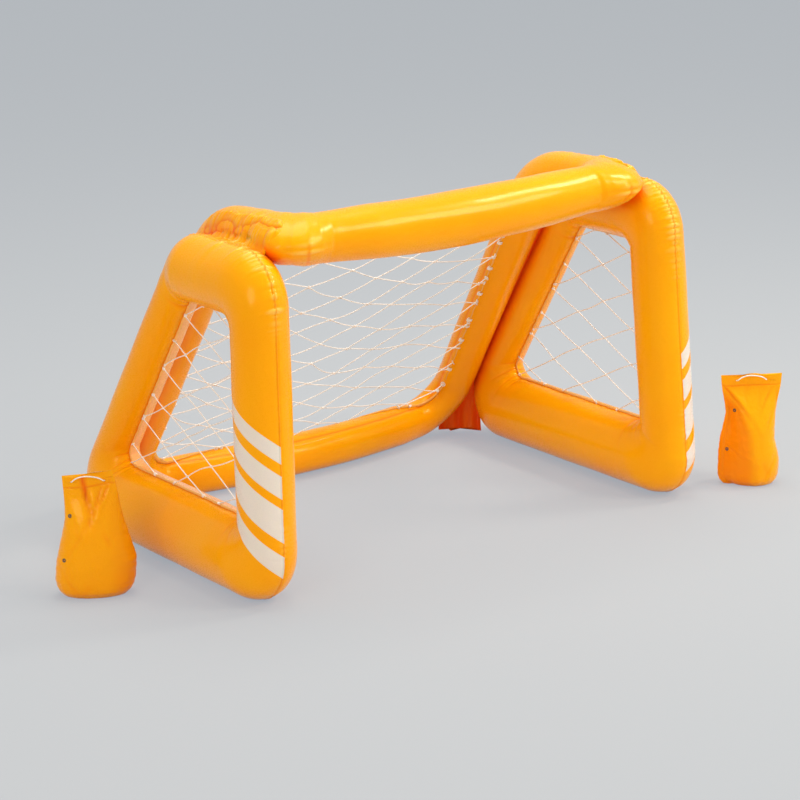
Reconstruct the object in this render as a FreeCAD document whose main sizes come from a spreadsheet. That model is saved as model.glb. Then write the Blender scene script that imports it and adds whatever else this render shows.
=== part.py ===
# Inflatable water polo goal: two ring-shaped side frames, one bent main loop that is
# crossbar, top runs, rear struts and rear bar in one chamber, string nets, push-in air
# valves and two separate water-filled anchor bags.
# Millimetres. X runs to the goal's right, Y to its rear, Z up; origin on the floor.
import FreeCAD, Part
import math
import os
import Sketcher
from FreeCAD import Placement, Rotation, Vector

document = FreeCAD.newDocument("WaterPoloGoal")
sheet = document.addObject("Spreadsheet::Sheet", "Sizes")

SIZES = [
    ("goal_width", 1376, "over both bottom tubes"),
    ("front_reach", 445, "origin to the sharp front foot of a side frame"),
    ("frame_length", 948, "sharp length of a side frame along the floor"),
    ("frame_height", 800, "side frame, floor to top"),
    ("frame_lean_in", 27.3, "how far a side frame leans inward over its height"),
    ("post_rake", 38, "how far the front post leans back over its height"),
    ("frame_top_length", 358.5, "sharp length of the side frame's top"),
    ("bottom_tube_height", 176, "bottom tube, floor to opening"),
    ("bottom_tube_width", 176, "bottom tube across the frame"),
    ("post_depth", 133.6, "front post in the frame's plane"),
    ("post_width", 134, "front post across the frame"),
    ("top_tube_height", 155, "top tube in the frame's plane"),
    ("top_tube_width", 145, "top tube across the frame"),
    ("strut_depth", 95.6, "rear strut in the frame's plane"),
    ("strut_width", 112, "rear strut across the frame"),
    ("front_foot_radius", 110, "outer corner at the front foot"),
    ("rear_foot_radius", 120, "outer corner at the rear foot"),
    ("rear_top_radius", 100, "outer corner at the rear top"),
    ("front_top_radius", 120, "outer corner at the front top"),
    ("opening_radius", 30, "corners of the frame's opening"),
    ("crossbar_radius", 66, "crossbar at its middle"),
    ("crossbar_quarter_radius", 63, "crossbar where its middle bend ends"),
    ("crossbar_end_radius", 57, "crossbar where it turns rearward"),
    ("top_run_radius", 54, "tube beside the side frame's top"),
    ("loop_strut_radius", 50, "rear strut of the main loop"),
    ("rear_bar_radius", 53, "rear bar on the floor"),
    ("crossbar_setback", 97, "frame's sharp front top to the crossbar's axis"),
    ("crossbar_bow", 15, "crossbar's two halves meet this far ahead of its ends"),
    ("crossbar_sag", 19, "crossbar's two halves meet this far below its ends"),
    ("crossbar_bend_radius", 5000, "crossbar's axis in the middle"),
    ("crossbar_rise", 6, "crossbar's end axis above the side frame"),
    ("top_run_drop", 2, "top run's axis below the side frame's top"),
    ("top_run_setback", 13.5, "frame's sharp rear top to the loop's rear bend"),
    ("top_run_gap", 3.9, "top run to side frame"),
    ("foot_overlap", 9.0, "loop strut tucked beside the side frame's foot"),
    ("foot_setback", 51, "frame's sharp rear foot to the loop's rear corner"),
    ("rear_bar_bow", 112, "rear bar's two halves meet this far ahead of its corners"),
    ("rear_bar_bend_radius", 1500, "rear bar's axis in the middle"),
    ("front_bend_radius", 85, "loop axis, crossbar to top run"),
    ("rear_bend_radius", 170, "loop axis, top run to strut"),
    ("foot_bend_radius", 110, "loop axis, strut to rear bar"),
    ("seam_width", 5, "welded seam that carries a side net"),
    ("seam_thickness", 1, "two welded sheets"),
    ("hem_reach", 6, "welded hem past the loop's tubes"),
    ("hem_root", 14, "hem inside the tube's outline before it is trimmed"),
    ("back_net_forward", 18, "back net ahead of the loop struts' axes"),
    ("net_foot_height", 112, "lower edge of the back net"),
    ("net_corner_radius", 75, "lower corners of the back net"),
    ("string_width", 2.4, "net string"),
    ("border_width", 3.2, "net's border cord"),
    ("net_thickness", 2, "string across the net"),
    ("side_mesh_column", 104, "side nets, spacing of the knots' columns"),
    ("side_mesh_row", 98, "side nets, spacing of the knots in a column"),
    ("side_mesh_ahead", 40, "first gap's middle ahead of the opening's lower front corner"),
    ("side_mesh_down", 35, "first gap's middle below the opening's lower front corner"),
    ("back_mesh_column", 96, "back and roof net, spacing of the knots' columns"),
    ("back_mesh_row", 80, "back and roof net, spacing of the knots in a column"),
    ("back_mesh_side", 440, "first gap's middle to the left of the goal's middle"),
    ("back_mesh_down", 38, "first gap's middle below the back net's foot"),
    ("ridge_radius", 2, "cord between roof net and back net"),
    ("weld_radius", 9, "weld bead in the valley beside the top tube"),
    ("weld_lift", 12, "bead above the contact line"),
    ("weld_length", 120, "bead along the top run"),
    ("gusset_height", 120, "web between the loop's foot and the side frame"),
    ("gusset_thickness", 2, "folded web"),
    ("gusset_inward", 27, "web's inner end from the loop's rear corner"),
    ("gusset_ahead", 32, "web's inner end ahead of the loop's rear corner"),
    ("gusset_width", 78, "web, to the goal's side"),
    ("gusset_turn", 68, "web, to the goal's front"),
    ("gusset_floor_gap", 4, "web above the floor"),
    ("valve_setback", 330, "side frame's valve ahead of its sharp rear foot"),
    ("rear_valve_side", 180, "rear bar's valve beside the middle"),
    ("recess_radius", 12, "dimple that the valve is pushed into"),
    ("recess_depth", 13, "dimple"),
    ("collar_radius", 15, "welded collar round the dimple"),
    ("collar_height", 1, "collar proud of the tube"),
    ("valve_gap", 0.3, "running gap round the valve"),
    ("base_thickness", 1, "valve's base disc"),
    ("stem_radius", 5.2, "valve stem"),
    ("stem_height", 11, "stem above the base disc"),
    ("bore_radius", 3.05, "air passage"),
    ("plug_gap", 0.05, "plug in the passage, radial"),
    ("plug_length", 6, "plug's shank"),
    ("plug_head_radius", 5.6, "plug's head"),
    ("plug_head_height", 1.6, "plug's head"),
    ("strap_width", 4, "plug's strap"),
    ("strap_thickness", 1, "plug's strap"),
    ("strap_ring_height", 1.4, "ring of the strap round the stem"),
    ("bag_width", 165, "anchor bag"),
    ("bag_depth", 104, "anchor bag"),
    ("bag_height", 285, "anchor bag with header"),
    ("bag_base_width", 146, "anchor bag at the floor"),
    ("bag_base_depth", 84, "anchor bag at the floor"),
    ("header_height", 30, "flat header band"),
    ("header_thickness", 3, "flat header band"),
    ("cord_hole_gap", 0.45, "cord in its holes, radial"),
    ("header_hole_spacing", 76, "cord holes"),
    ("bag_cord_diameter", 3, "carrying cord"),
    ("bag_cord_rise", 14, "carrying cord above its holes"),
    ("bag_cord_reach", 13, "carrying cord ahead of the header"),
    ("eyelet_radius", 4.6, "drain eyelet"),
    ("eyelet_hole_radius", 1.8, "drain eyelet"),
    ("eyelet_proud", 0.8, "drain eyelet above the bag"),
    ("eyelet_side", 57, "drain eyelets beside the bag's middle"),
    ("eyelet_low", 95, "lower drain eyelet"),
    ("eyelet_high", 190, "upper drain eyelet"),
    ("left_bag_side", 882, "left bag beside the origin"),
    ("left_bag_front", 70, "left bag ahead of the origin"),
    ("right_bag_side", 822, "right bag beside the origin"),
    ("right_bag_front", 432, "right bag ahead of the origin"),
    ("bag_turn", 32, "degrees that a bag faces to the left"),
]
for row, (alias, number, meaning) in enumerate(SIZES, 1):
    sheet.set("A%d" % row, meaning)
    sheet.set("B%d" % row, str(number))
    sheet.setAlias("B%d" % row, alias)
document.recompute()

CORNER_STEPS = 8
FRONT_FOOT, REAR_FOOT, REAR_TOP, FRONT_TOP = range(4)
SIDES = (("left", -1), ("right", 1))
FORWARD = Vector(0, -1, 0)
UP = Vector(0, 0, 1)
subparts = []


def size(name):
    return float(sheet.get(name))


def keep(thing, label):
    """Give an object its file's name and list it among the sub-parts."""
    thing.Label = label
    subparts.append(thing)
    return thing


def solid_feature(label, shape):
    feature = document.addObject("Part::Feature", label)
    feature.Shape = shape
    return keep(feature, label)


# Outlines: corners in a plane, their offsets and their rounding.
def meet(point_a, along_a, point_b, along_b):
    """Where two lines of one plane cross."""
    turn = along_a.x * along_b.y - along_a.y * along_b.x
    gap = point_b - point_a
    return point_a + along_a * ((gap.x * along_b.y - gap.y * along_b.x) / turn)


def inset(corners, depths):
    """Corners of an anticlockwise outline with each side moved inward by its depth."""
    sides = []
    for number, start in enumerate(corners):
        along = (corners[(number + 1) % len(corners)] - start).normalize()
        inward = Vector(-along.y, along.x, 0)
        sides.append((start + inward * depths[number], along))
    return [meet(*sides[number - 1], *side) for number, side in enumerate(sides)]


def bend(before, corner, after, radius, steps=CORNER_STEPS):
    """Points along the arc that rounds a corner."""
    towards = (before - corner).normalize()
    away = (after - corner).normalize()
    half = towards.getAngle(away) / 2
    centre = corner + (towards + away).normalize() * (radius / math.sin(half))
    start = corner + towards * (radius / math.tan(half)) - centre
    end = corner + away * (radius / math.tan(half)) - centre
    sweep = start.getAngle(end)
    return [
        centre
        + start * (math.sin((1 - step / steps) * sweep) / math.sin(sweep))
        + end * (math.sin(step / steps * sweep) / math.sin(sweep))
        for step in range(steps + 1)
    ]


def rounded(corners, radii):
    """One list of arc points for each corner; a corner without radius stays one point."""
    arcs = []
    for number, corner in enumerate(corners):
        before = corners[number - 1]
        after = corners[(number + 1) % len(corners)]
        radius = radii[number]
        arcs.append(bend(before, corner, after, radius) if radius > 0 else [corner])
    return arcs


def outline(corners, radii):
    return [point for arc in rounded(corners, radii) for point in arc]


# The side frame's shape in its own plane: Vector(y, z, 0).
def frame_corners():
    front = -size("front_reach")
    rear = front + size("frame_length")
    front_top = front + size("post_rake")
    height = size("frame_height")
    return [
        Vector(front, 0, 0),
        Vector(rear, 0, 0),
        Vector(front_top + size("frame_top_length"), height, 0),
        Vector(front_top, height, 0),
    ]


def opening_corners(margin=0.0):
    depths = [size(name) + margin for name in
              ("bottom_tube_height", "strut_depth", "top_tube_height", "post_depth")]
    return inset(frame_corners(), depths)


def opening_outline(margin=0.0):
    radius = size("opening_radius") - margin
    return outline(opening_corners(margin), [radius] * 4)


lean = size("frame_lean_in") / size("frame_height")
mid_at_floor = (size("goal_width") - size("bottom_tube_width")) / 2 + lean * size("bottom_tube_height") / 2


def frame_x(height):
    """How far the side frame's middle plane is from the goal's centre."""
    return mid_at_floor - lean * height


def frame_point(side, point, outward=0.0):
    return Vector(side * (frame_x(point.y) + outward), point.x, point.y)


def frame_normal(side):
    return Vector(side, 0, lean).normalize()


def hoop(centre, axis_one, axis_two):
    """A closed elliptical wire from its centre and two half axes."""
    ring = Part.Circle(Vector(), UP, 1).toNurbs()
    for number, pole in enumerate(ring.getPoles(), 1):
        ring.setPole(number, centre + axis_one * pole.x + axis_two * pole.y)
    return Part.Wire([ring.toShape()])


def frame_hoops(side):
    radii = [size(name) for name in
             ("front_foot_radius", "rear_foot_radius", "rear_top_radius", "front_top_radius")]
    widths = [size(name) for name in
              ("bottom_tube_width", "strut_width", "top_tube_width", "post_width")]
    outer = rounded(frame_corners(), radii)
    inner = rounded(opening_corners(), [size("opening_radius")] * 4)
    hoops = []
    for corner in range(4):
        for step, (far, near) in enumerate(zip(outer[corner], inner[corner])):
            share = step / CORNER_STEPS
            width = widths[corner - 1] * (1 - share) + widths[corner] * share
            centre = frame_point(side, (far + near) / 2)
            reach = (frame_point(side, far) - frame_point(side, near)) / 2
            hoops.append(hoop(centre, reach, Vector(side * width / 2, 0, 0)))
    return hoops


def valve_seat(side):
    """On the bottom tube's face that looks to the goal's right, at half its height."""
    height = size("bottom_tube_height") / 2
    reach = side * frame_x(height) + size("bottom_tube_width") / 2
    return Vector(reach, frame_corners()[REAR_FOOT].x - size("valve_setback"), height)


# The main loop: its axis through six bends, and the radius of the tube at each.
def loop_corners():
    corners = frame_corners()
    top_height = size("frame_height") - size("top_run_drop")
    tube = (size("top_tube_width") + size("top_tube_height")) / 4
    reach = tube + size("top_run_radius") + size("top_run_gap")
    rise = top_height - size("frame_height") + size("top_tube_height") / 2
    top_x = frame_x(size("frame_height") - size("top_tube_height") / 2) - math.sqrt(reach**2 - rise**2)
    foot_x = (frame_x(size("rear_bar_radius")) - size("strut_width") / 2
              - size("loop_strut_radius") + size("foot_overlap"))
    bar_y = corners[FRONT_TOP].x + size("crossbar_setback")
    bend_y = corners[REAR_TOP].x + size("top_run_setback")
    foot_y = corners[REAR_FOOT].x - size("foot_setback")
    bar_z = size("frame_height") + size("crossbar_rise")
    foot_z = size("rear_bar_radius")
    return {
        "middle": Vector(0, bar_y - size("crossbar_bow"), bar_z - size("crossbar_sag")),
        "front": Vector(top_x, bar_y, bar_z),
        "rear": Vector(top_x, bend_y, top_height),
        "foot": Vector(foot_x, foot_y, foot_z),
        "bar": Vector(0, foot_y - size("rear_bar_bow"), foot_z),
    }


loop = loop_corners()


def mirrored(point):
    return Vector(-point.x, point.y, point.z)


def loop_stations():
    """Axis points round the whole loop, each with its tube radius and the loop's sheet normal."""
    strut_normal = Vector(1, 0, 0).cross(loop["foot"] - loop["rear"]).normalize()
    bends = [
        ("middle", "front", "rear", "front_bend_radius", "crossbar_end_radius", UP, UP),
        ("front", "rear", "foot", "rear_bend_radius", "top_run_radius", UP, strut_normal),
        ("rear", "foot", "bar", "foot_bend_radius", "loop_strut_radius", strut_normal, strut_normal),
    ]
    crossbar = bend(mirrored(loop["front"]), loop["middle"], loop["front"],
                    size("crossbar_bend_radius"), 2 * CORNER_STEPS)[CORNER_STEPS:]
    thinner = (size("crossbar_quarter_radius") - size("crossbar_radius")) / CORNER_STEPS
    right = [(point, size("crossbar_radius") + step * thinner, UP) for step, point in enumerate(crossbar)]
    for before, corner, after, radius, tube, normal, next_normal in bends:
        for step, point in enumerate(bend(loop[before], loop[corner], loop[after], size(radius))):
            share = step / CORNER_STEPS
            right.append((point, size(tube), normal * (1 - share) + next_normal * share))
    rear_bar = bend(loop["foot"], loop["bar"], mirrored(loop["foot"]),
                    size("rear_bar_bend_radius"), 2 * CORNER_STEPS)[:CORNER_STEPS + 1]
    right += [(point, size("rear_bar_radius"), strut_normal) for point in rear_bar]
    left = [(mirrored(point), tube, normal) for point, tube, normal in right[-2:0:-1]]
    return right + left


def loop_hoops():
    stations = loop_stations()
    hoops = []
    for number, (point, tube, normal) in enumerate(stations):
        along = (stations[(number + 1) % len(stations)][0] - stations[number - 1][0]).normalize()
        upright = (normal - along * normal.dot(along)).normalize()
        hoops.append(hoop(point, along.cross(upright) * tube, upright * tube))
    return hoops


def chamber(label, hoops, seat, outward):
    """An air chamber with the dimple that its valve is pushed into."""
    body = document.addObject("Part::Feature", label + "_skin")
    body.Shape = Part.makeLoft(hoops, True, True, True)
    dimple = document.addObject("Part::Cylinder", label + "_dimple")
    dimple.setExpression("Radius", "Sizes.recess_radius")
    dimple.setExpression("Height", "2 * Sizes.recess_depth")
    dimple.Placement = Placement(seat - outward * size("recess_depth"), Rotation(UP, outward))
    cut = document.addObject("Part::Cut", label)
    cut.Base = body
    cut.Tool = dimple
    return keep(cut, label)


RIGHTWARD = Vector(1, 0, 0)
REARWARD = Vector(0, 1, 0)
seats = {name: (valve_seat(side), RIGHTWARD) for name, side in SIDES}
bar_arc = [station[0] for station in loop_stations() if abs(station[0].z - loop["bar"].z) < 0.01]
nearest = min(bar_arc, key=lambda point: abs(point.x - size("rear_valve_side")))
rear_seat = nearest + Vector(0, size("rear_bar_radius"), 0)
seats["rear"] = (rear_seat, REARWARD)

frames = {name: chamber(name + "_side_frame", frame_hoops(side), *seats[name]) for name, side in SIDES}
main_loop = chamber("main_loop", loop_hoops(), *seats["rear"])
document.recompute()


# Flat pieces in a plane: a holed plate from outlines and a function that places them.
def plate(outer, holes, to_space, normal, thickness):
    wires = []
    for points in [outer] + holes:
        spots = [to_space(point) - normal * (thickness / 2) for point in points]
        wires.append(Part.makePolygon(spots + spots[:1]))
    face = Part.makeFace(wires, "Part::FaceMakerBullseye")
    return face.extrude(normal * thickness)


def flat_face(points):
    return Part.Face(Part.makePolygon(list(points) + list(points[:1])))


def mesh_holes(field, start, column, row):
    """Diamond gaps between the strings, trimmed by the net's border."""
    columns = math.ceil((max(point.x for point in field) - start.x) / column) + 1
    rows = math.ceil((max(point.y for point in field) - start.y) / row) + 1
    side_length = math.hypot(column, row / 2)
    shrink = size("string_width") / 2 * side_length
    half_width = column - shrink / (row / 2)
    half_height = row / 2 - shrink / column
    area = flat_face(field)
    smallest = half_width * half_height / 20
    holes = []
    for across in range(columns):
        for up in range(rows):
            shift = (across % 2) * row / 2
            middle = start + Vector(across * column, up * row + shift, 0)
            tips = [middle + Vector(half_width, 0, 0), middle + Vector(0, half_height, 0),
                    middle - Vector(half_width, 0, 0), middle - Vector(0, half_height, 0)]
            for face in flat_face(tips).common(area).Faces:
                if face.Area > smallest:
                    holes.append([vertex.Point for vertex in face.OuterWire.OrderedVertexes])
    return holes


# Side nets: each hangs in a welded seam round its frame's opening.
seam = size("seam_width")
border = size("border_width")
net_thickness = size("net_thickness")
low_corner = opening_corners()[FRONT_FOOT]
side_start = Vector(low_corner.x - size("side_mesh_ahead"), low_corner.y - size("side_mesh_down"), 0)
for name, side in SIDES:
    def in_frame(point, side=side):
        return frame_point(side, point)
    normal = frame_normal(side)
    seam_ring = plate(opening_outline(), [opening_outline(seam)], in_frame, normal, size("seam_thickness"))
    solid_feature(name + "_opening_seam", seam_ring)
    holes = mesh_holes(opening_outline(seam + border), side_start,
                       size("side_mesh_column"), size("side_mesh_row"))
    side_net = plate(opening_outline(seam), holes, in_frame, normal, net_thickness)
    solid_feature(name + "_side_net", side_net)


# Back net and roof net: their planes, meeting on a ridge cord behind the crossbar.
def back_y(height):
    share = (height - loop["foot"].z) / (loop["rear"].z - loop["foot"].z)
    return loop["foot"].y + share * (loop["rear"].y - loop["foot"].y) - size("back_net_forward")


ridge_z = loop["middle"].z
ridge_y = back_y(ridge_z)
back_slope = (back_y(0) - ridge_y) / ridge_z
stretch = math.hypot(1, back_slope)


def in_back(point):
    return Vector(point.x, back_y(point.y / stretch), point.y / stretch)


def in_roof(point):
    return Vector(point.x, point.y, ridge_z)


back_normal = Vector(0, 1, back_slope).normalize()
cord_room = size("ridge_radius") * 1.2
ahead = size("back_net_forward")
foot_clear = math.sqrt(size("loop_strut_radius") ** 2 - ahead ** 2)
top_clear = math.sqrt(size("top_run_radius") ** 2 - ahead ** 2)
foot_x = loop["foot"].x - foot_clear - size("hem_reach")
top_x = loop["rear"].x - top_clear - size("hem_reach")
foot_v = size("net_foot_height") * stretch
ridge_v = ridge_z * stretch - cord_room
root = size("hem_root")
corner_radius = size("net_corner_radius")

back_corners = [Vector(-foot_x, foot_v, 0), Vector(foot_x, foot_v, 0),
                Vector(top_x, ridge_v, 0), Vector(-top_x, ridge_v, 0)]
back_radii = [corner_radius, corner_radius, 0, 0]
back_outline = outline(back_corners, back_radii)
back_field = outline(inset(back_corners, [border] * 4), [corner_radius - border] * 2 + [0, 0])
back_start = Vector(-size("back_mesh_side"), foot_v - size("back_mesh_down"), 0)
back_mesh = size("back_mesh_column"), size("back_mesh_row")
back_holes = mesh_holes(back_field, back_start, *back_mesh)
solid_feature("back_net", plate(back_outline, back_holes, in_back, back_normal, net_thickness))

bar_rear = max(loop["middle"].y + size("crossbar_radius"),
               loop["front"].y + size("crossbar_end_radius")) + size("hem_reach")
bend_clear = size("front_bend_radius") - size("crossbar_end_radius")
roof_radius = max(bend_clear - size("hem_reach"), border * 2)
roof_rear = ridge_y - cord_room
roof_corners = [Vector(-top_x, bar_rear, 0), Vector(top_x, bar_rear, 0),
                Vector(top_x, roof_rear, 0), Vector(-top_x, roof_rear, 0)]
roof_outline = outline(roof_corners, [roof_radius, roof_radius, 0, 0])
roof_field = outline(inset(roof_corners, [border] * 4), [roof_radius - border] * 2 + [0, 0])
roof_start = Vector(-size("back_mesh_side"), bar_rear, 0)
roof_holes = mesh_holes(roof_field, roof_start, *back_mesh)
solid_feature("roof_net", plate(roof_outline, roof_holes, in_roof, UP, net_thickness))


def hem(label, corners, radii, net_outline, to_space, normal):
    """The welded edge that holds a net, from the tube's skin to the net's border."""
    grown = inset(corners, [-root, -root, 0, -root])
    wide = outline(grown, [radii[0] + root, radii[1] + root, 0, 0])
    ring = plate(wide, [], to_space, normal, size("seam_thickness"))
    inner = plate(net_outline, [], to_space, normal, 3 * size("seam_thickness"))
    return solid_feature(label, ring.cut(inner).cut(main_loop.Shape))


hem("back_net_hem", back_corners, back_radii, back_outline, in_back, back_normal)
hem("roof_net_hem", roof_corners, [roof_radius, roof_radius, 0, 0], roof_outline, in_roof, UP)

ridge = document.addObject("Part::Cylinder", "ridge_rod")
ridge.setExpression("Radius", "Sizes.ridge_radius")
ridge.Height = 2 * loop["rear"].x
ridge.Placement = Placement(Vector(-loop["rear"].x, ridge_y, ridge_z), Rotation(UP, RIGHTWARD))
ridge_cord = document.addObject("Part::Cut", "ridge_cord")
ridge_cord.Base = ridge
ridge_cord.Tool = main_loop
keep(ridge_cord, "ridge_cord")


# Welds between the main loop and the side frames.
def between_tubes(blank, frame):
    """What is left of a blank outside both chambers: the piece that bridges them."""
    pieces = blank.cut(frame.Shape).cut(main_loop.Shape).Solids
    return max(pieces, key=lambda piece: piece.Volume)


for name, side in SIDES:
    tube_z = size("frame_height") - size("top_tube_height") / 2
    tube_centre = Vector(side * frame_x(tube_z), 0, tube_z)
    run_centre = Vector(side * loop["rear"].x, 0, loop["rear"].z)
    across = (tube_centre - run_centre).normalize()
    contact = run_centre + across * (size("top_run_radius") + size("top_run_gap") / 2)
    upward = Vector(-across.z, 0, across.x) * side
    start = contact + upward * size("weld_lift")
    start.y = loop["rear"].y - (size("rear_bend_radius") + size("weld_length")) / 2
    bead = Part.makeCylinder(size("weld_radius"), size("weld_length"), start, REARWARD)
    solid_feature(name + "_top_weld", between_tubes(bead, frames[name]))

    inner_end = Vector(side * (loop["foot"].x - size("gusset_inward")), loop["foot"].y - size("gusset_ahead"), 0)
    outer_end = inner_end + Vector(side * size("gusset_width"), -size("gusset_turn"), 0)
    low = UP * size("gusset_floor_gap")
    high = UP * size("gusset_height")
    web_points = [inner_end + low, outer_end + low, outer_end + high, inner_end + high]
    web_normal = (outer_end - inner_end).cross(UP).normalize()
    web = flat_face(web_points).extrude(web_normal * size("gusset_thickness"))
    solid_feature(name + "_rear_gusset", between_tubes(web, frames[name]))


# Round bodies for the valves.
def circle_sketch(body, name, radii, lift):
    """Concentric circles bound to the sheet, on the body's own XY plane."""
    plane = [item for item in body.Origin.OriginFeatures if item.Role == "XY_Plane"][0]
    sketch = body.newObject("Sketcher::SketchObject", name)
    sketch.AttachmentSupport = (plane, [""])
    sketch.MapMode = "FlatFace"
    sketch.setExpression("AttachmentOffset.Base.z", lift)
    for number, expression in enumerate(radii):
        sketch.addGeometry(Part.Circle(Vector(), UP, number + 1.0), False)
        sketch.addConstraint(Sketcher.Constraint("Coincident", number, 3, -1, 1))
        where = sketch.addConstraint(Sketcher.Constraint("Radius", number, number + 1.0))
        sketch.setExpression("Constraints[%d]" % where, expression)
    return sketch


def disc(body, name, radii, lift, height):
    sketch = circle_sketch(body, name + "_sketch", radii, lift)
    pad = body.newObject("PartDesign::Pad", name)
    pad.Profile = sketch
    pad.setExpression("Length", height)
    return pad


def valve_stem(label):
    """Base disc with the hollow stem on it; the passage runs through both."""
    body = document.addObject("PartDesign::Body", label)
    disc(body, label + "_base", ["Sizes.recess_radius - 2 * Sizes.valve_gap", "Sizes.bore_radius"],
         "0 mm", "Sizes.base_thickness")
    disc(body, label + "_tube", ["Sizes.stem_radius", "Sizes.bore_radius"],
         "0 mm", "Sizes.base_thickness + Sizes.stem_height")
    return keep(body, label)


def plug(label):
    """Shank and head of the plug, with the strap and the ring that tie it to the stem."""
    stem_top = size("base_thickness") + size("stem_height")
    shank_radius = size("bore_radius") - size("plug_gap")
    ring_inner = size("stem_radius") + size("valve_gap")
    ring_outer = ring_inner + size("strap_thickness")
    ring_low = size("base_thickness") + size("valve_gap")
    head_low = stem_top + size("valve_gap")
    head_top = head_low + size("plug_head_height")
    shank = Part.makeCylinder(shank_radius, size("plug_length") + size("plug_head_height"),
                              Vector(0, 0, head_top - size("plug_length") - size("plug_head_height")))
    head = Part.makeCylinder(size("plug_head_radius"), size("plug_head_height"), Vector(0, 0, head_low))
    ring = Part.makeCylinder(ring_outer, size("strap_ring_height"), Vector(0, 0, ring_low))
    ring = ring.cut(Part.makeCylinder(ring_inner, 3 * size("strap_ring_height"), Vector()))
    strap_x = max(ring_outer, size("plug_head_radius")) - size("strap_thickness") / 2
    strap = Part.makeBox(size("strap_thickness") * 1.5, size("strap_width"), head_top - ring_low,
                         Vector(strap_x, -size("strap_width") / 2, ring_low))
    tab = Part.makeBox(strap_x, size("strap_width"), size("plug_head_height"),
                       Vector(size("strap_thickness") / 2, -size("strap_width") / 2, head_low))
    return solid_feature(label, shank.fuse([head, ring, strap, tab]).removeSplitter())


def collar(label, seat, outward, carrier):
    """Welded ring round the dimple, trimmed to the chamber's skin."""
    depth = size("recess_depth") / 2
    ring = Part.makeCylinder(size("collar_radius"), depth + size("collar_height"), seat - outward * depth, outward)
    bore = Part.makeCylinder(size("recess_radius"), 3 * depth, seat - outward * 1.5 * depth, outward)
    return solid_feature(label, ring.cut(bore).cut(carrier.Shape))


carriers = {"left": frames["left"], "right": frames["right"], "rear": main_loop}
for name, (seat, outward) in seats.items():
    pushed_in = seat - outward * (size("recess_depth") - size("valve_gap"))
    place = Placement(pushed_in, Rotation(UP, outward))
    valve_stem(name + "_valve_stem").Placement = place
    plug(name + "_valve_plug").Placement = place
    collar(name + "_valve_collar", seat, outward, carriers[name])


# Anchor bags: a water-filled pouch under a flat header with its carrying cord.
def bag_level(height):
    """Half width and half depth of the pouch at a height, from floor to header."""
    levels = [
        (0.0, size("bag_base_width") / 2, size("bag_base_depth") / 2),
        (0.10, size("bag_width") / 2 * 0.97, size("bag_depth") / 2 * 0.97),
        (0.33, size("bag_width") / 2, size("bag_depth") / 2),
        (0.66, size("bag_width") / 2 * 0.93, size("bag_depth") / 2 * 0.80),
        (0.88, size("bag_width") / 2 * 0.95, size("bag_depth") / 2 * 0.36),
        (1.0, size("bag_width") / 2 * 0.98, size("header_thickness") / 2),
    ]
    share = height / pouch_height
    for (low, width_a, depth_a), (high, width_b, depth_b) in zip(levels, levels[1:]):
        if share <= high:
            mix = (share - low) / (high - low)
            return width_a + mix * (width_b - width_a), depth_a + mix * (depth_b - depth_a)
    return levels[-1][1:]


pouch_height = size("bag_height") - size("header_height")
POUCH_LEVELS = (0, 0.05, 0.10, 0.33, 0.66, 0.88, 1.0)


def pouch():
    hoops = []
    for share in POUCH_LEVELS:
        half_width, half_depth = bag_level(share * pouch_height)
        hoops.append(hoop(UP * (share * pouch_height), Vector(half_width, 0, 0), Vector(0, half_depth, 0)))
    return Part.makeLoft(hoops, True, True, False)


def header():
    width = size("bag_width")
    thickness = size("header_thickness")
    band = Part.makeBox(width, thickness, size("header_height"), Vector(-width / 2, -thickness / 2, pouch_height))
    for side in (-1, 1):
        spot = Vector(side * size("header_hole_spacing") / 2, -thickness, cord_height)
        hole_radius = size("bag_cord_diameter") / 2 + size("cord_hole_gap")
        band = band.cut(Part.makeCylinder(hole_radius, 2 * thickness, spot, REARWARD))
    return band


def tube_along(points, diameter):
    """A round tube on straight runs joined by tangent arcs."""
    edges = []
    last = points[0]
    for before, corner, after in zip(points, points[1:], points[2:]):
        into = (corner - before).normalize()
        out = (after - corner).normalize()
        half = into.getAngle(out) / 2
        radius = 0.45 * min(before.distanceToPoint(corner), corner.distanceToPoint(after)) / math.tan(half)
        cut_back = radius * math.tan(half)
        start = corner - into * cut_back
        end = corner + out * cut_back
        middle = corner + (out - into).normalize() * (radius / math.cos(half) - radius)
        edges.append(Part.LineSegment(last, start).toShape())
        edges.append(Part.Arc(start, middle, end).toShape())
        last = end
        print("cord bend radius %.1f" % radius)
    edges.append(Part.LineSegment(last, points[-1]).toShape())
    path = Part.Wire(edges)
    ring = Part.Wire([Part.makeCircle(diameter / 2, points[0], points[1] - points[0])])
    tube = path.makePipeShell([ring], True, False)
    print("cord length %.1f, volume ratio %.4f" % (
        path.Length, tube.Volume / (math.pi * diameter ** 2 / 4 * path.Length)))
    return tube


cord_height = pouch_height + size("header_height") * 0.55
header_face = -size("header_thickness") / 2
half_spacing = size("header_hole_spacing") / 2
reach = size("bag_cord_reach")
rise = size("bag_cord_rise")
CORD_ROUTE = [
    Vector(-half_spacing, -header_face, cord_height),
    Vector(-half_spacing, header_face - reach * 0.7, cord_height),
    Vector(-half_spacing * 0.74, header_face - reach, cord_height + rise * 0.75),
    Vector(-half_spacing * 0.28, header_face - reach * 0.9, cord_height + rise * 1.08),
    Vector(half_spacing * 0.25, header_face - reach * 0.95, cord_height + rise),
    Vector(half_spacing * 0.72, header_face - reach, cord_height + rise * 0.7),
    Vector(half_spacing, header_face - reach * 0.7, cord_height),
    Vector(half_spacing, -header_face, cord_height),
]


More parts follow.
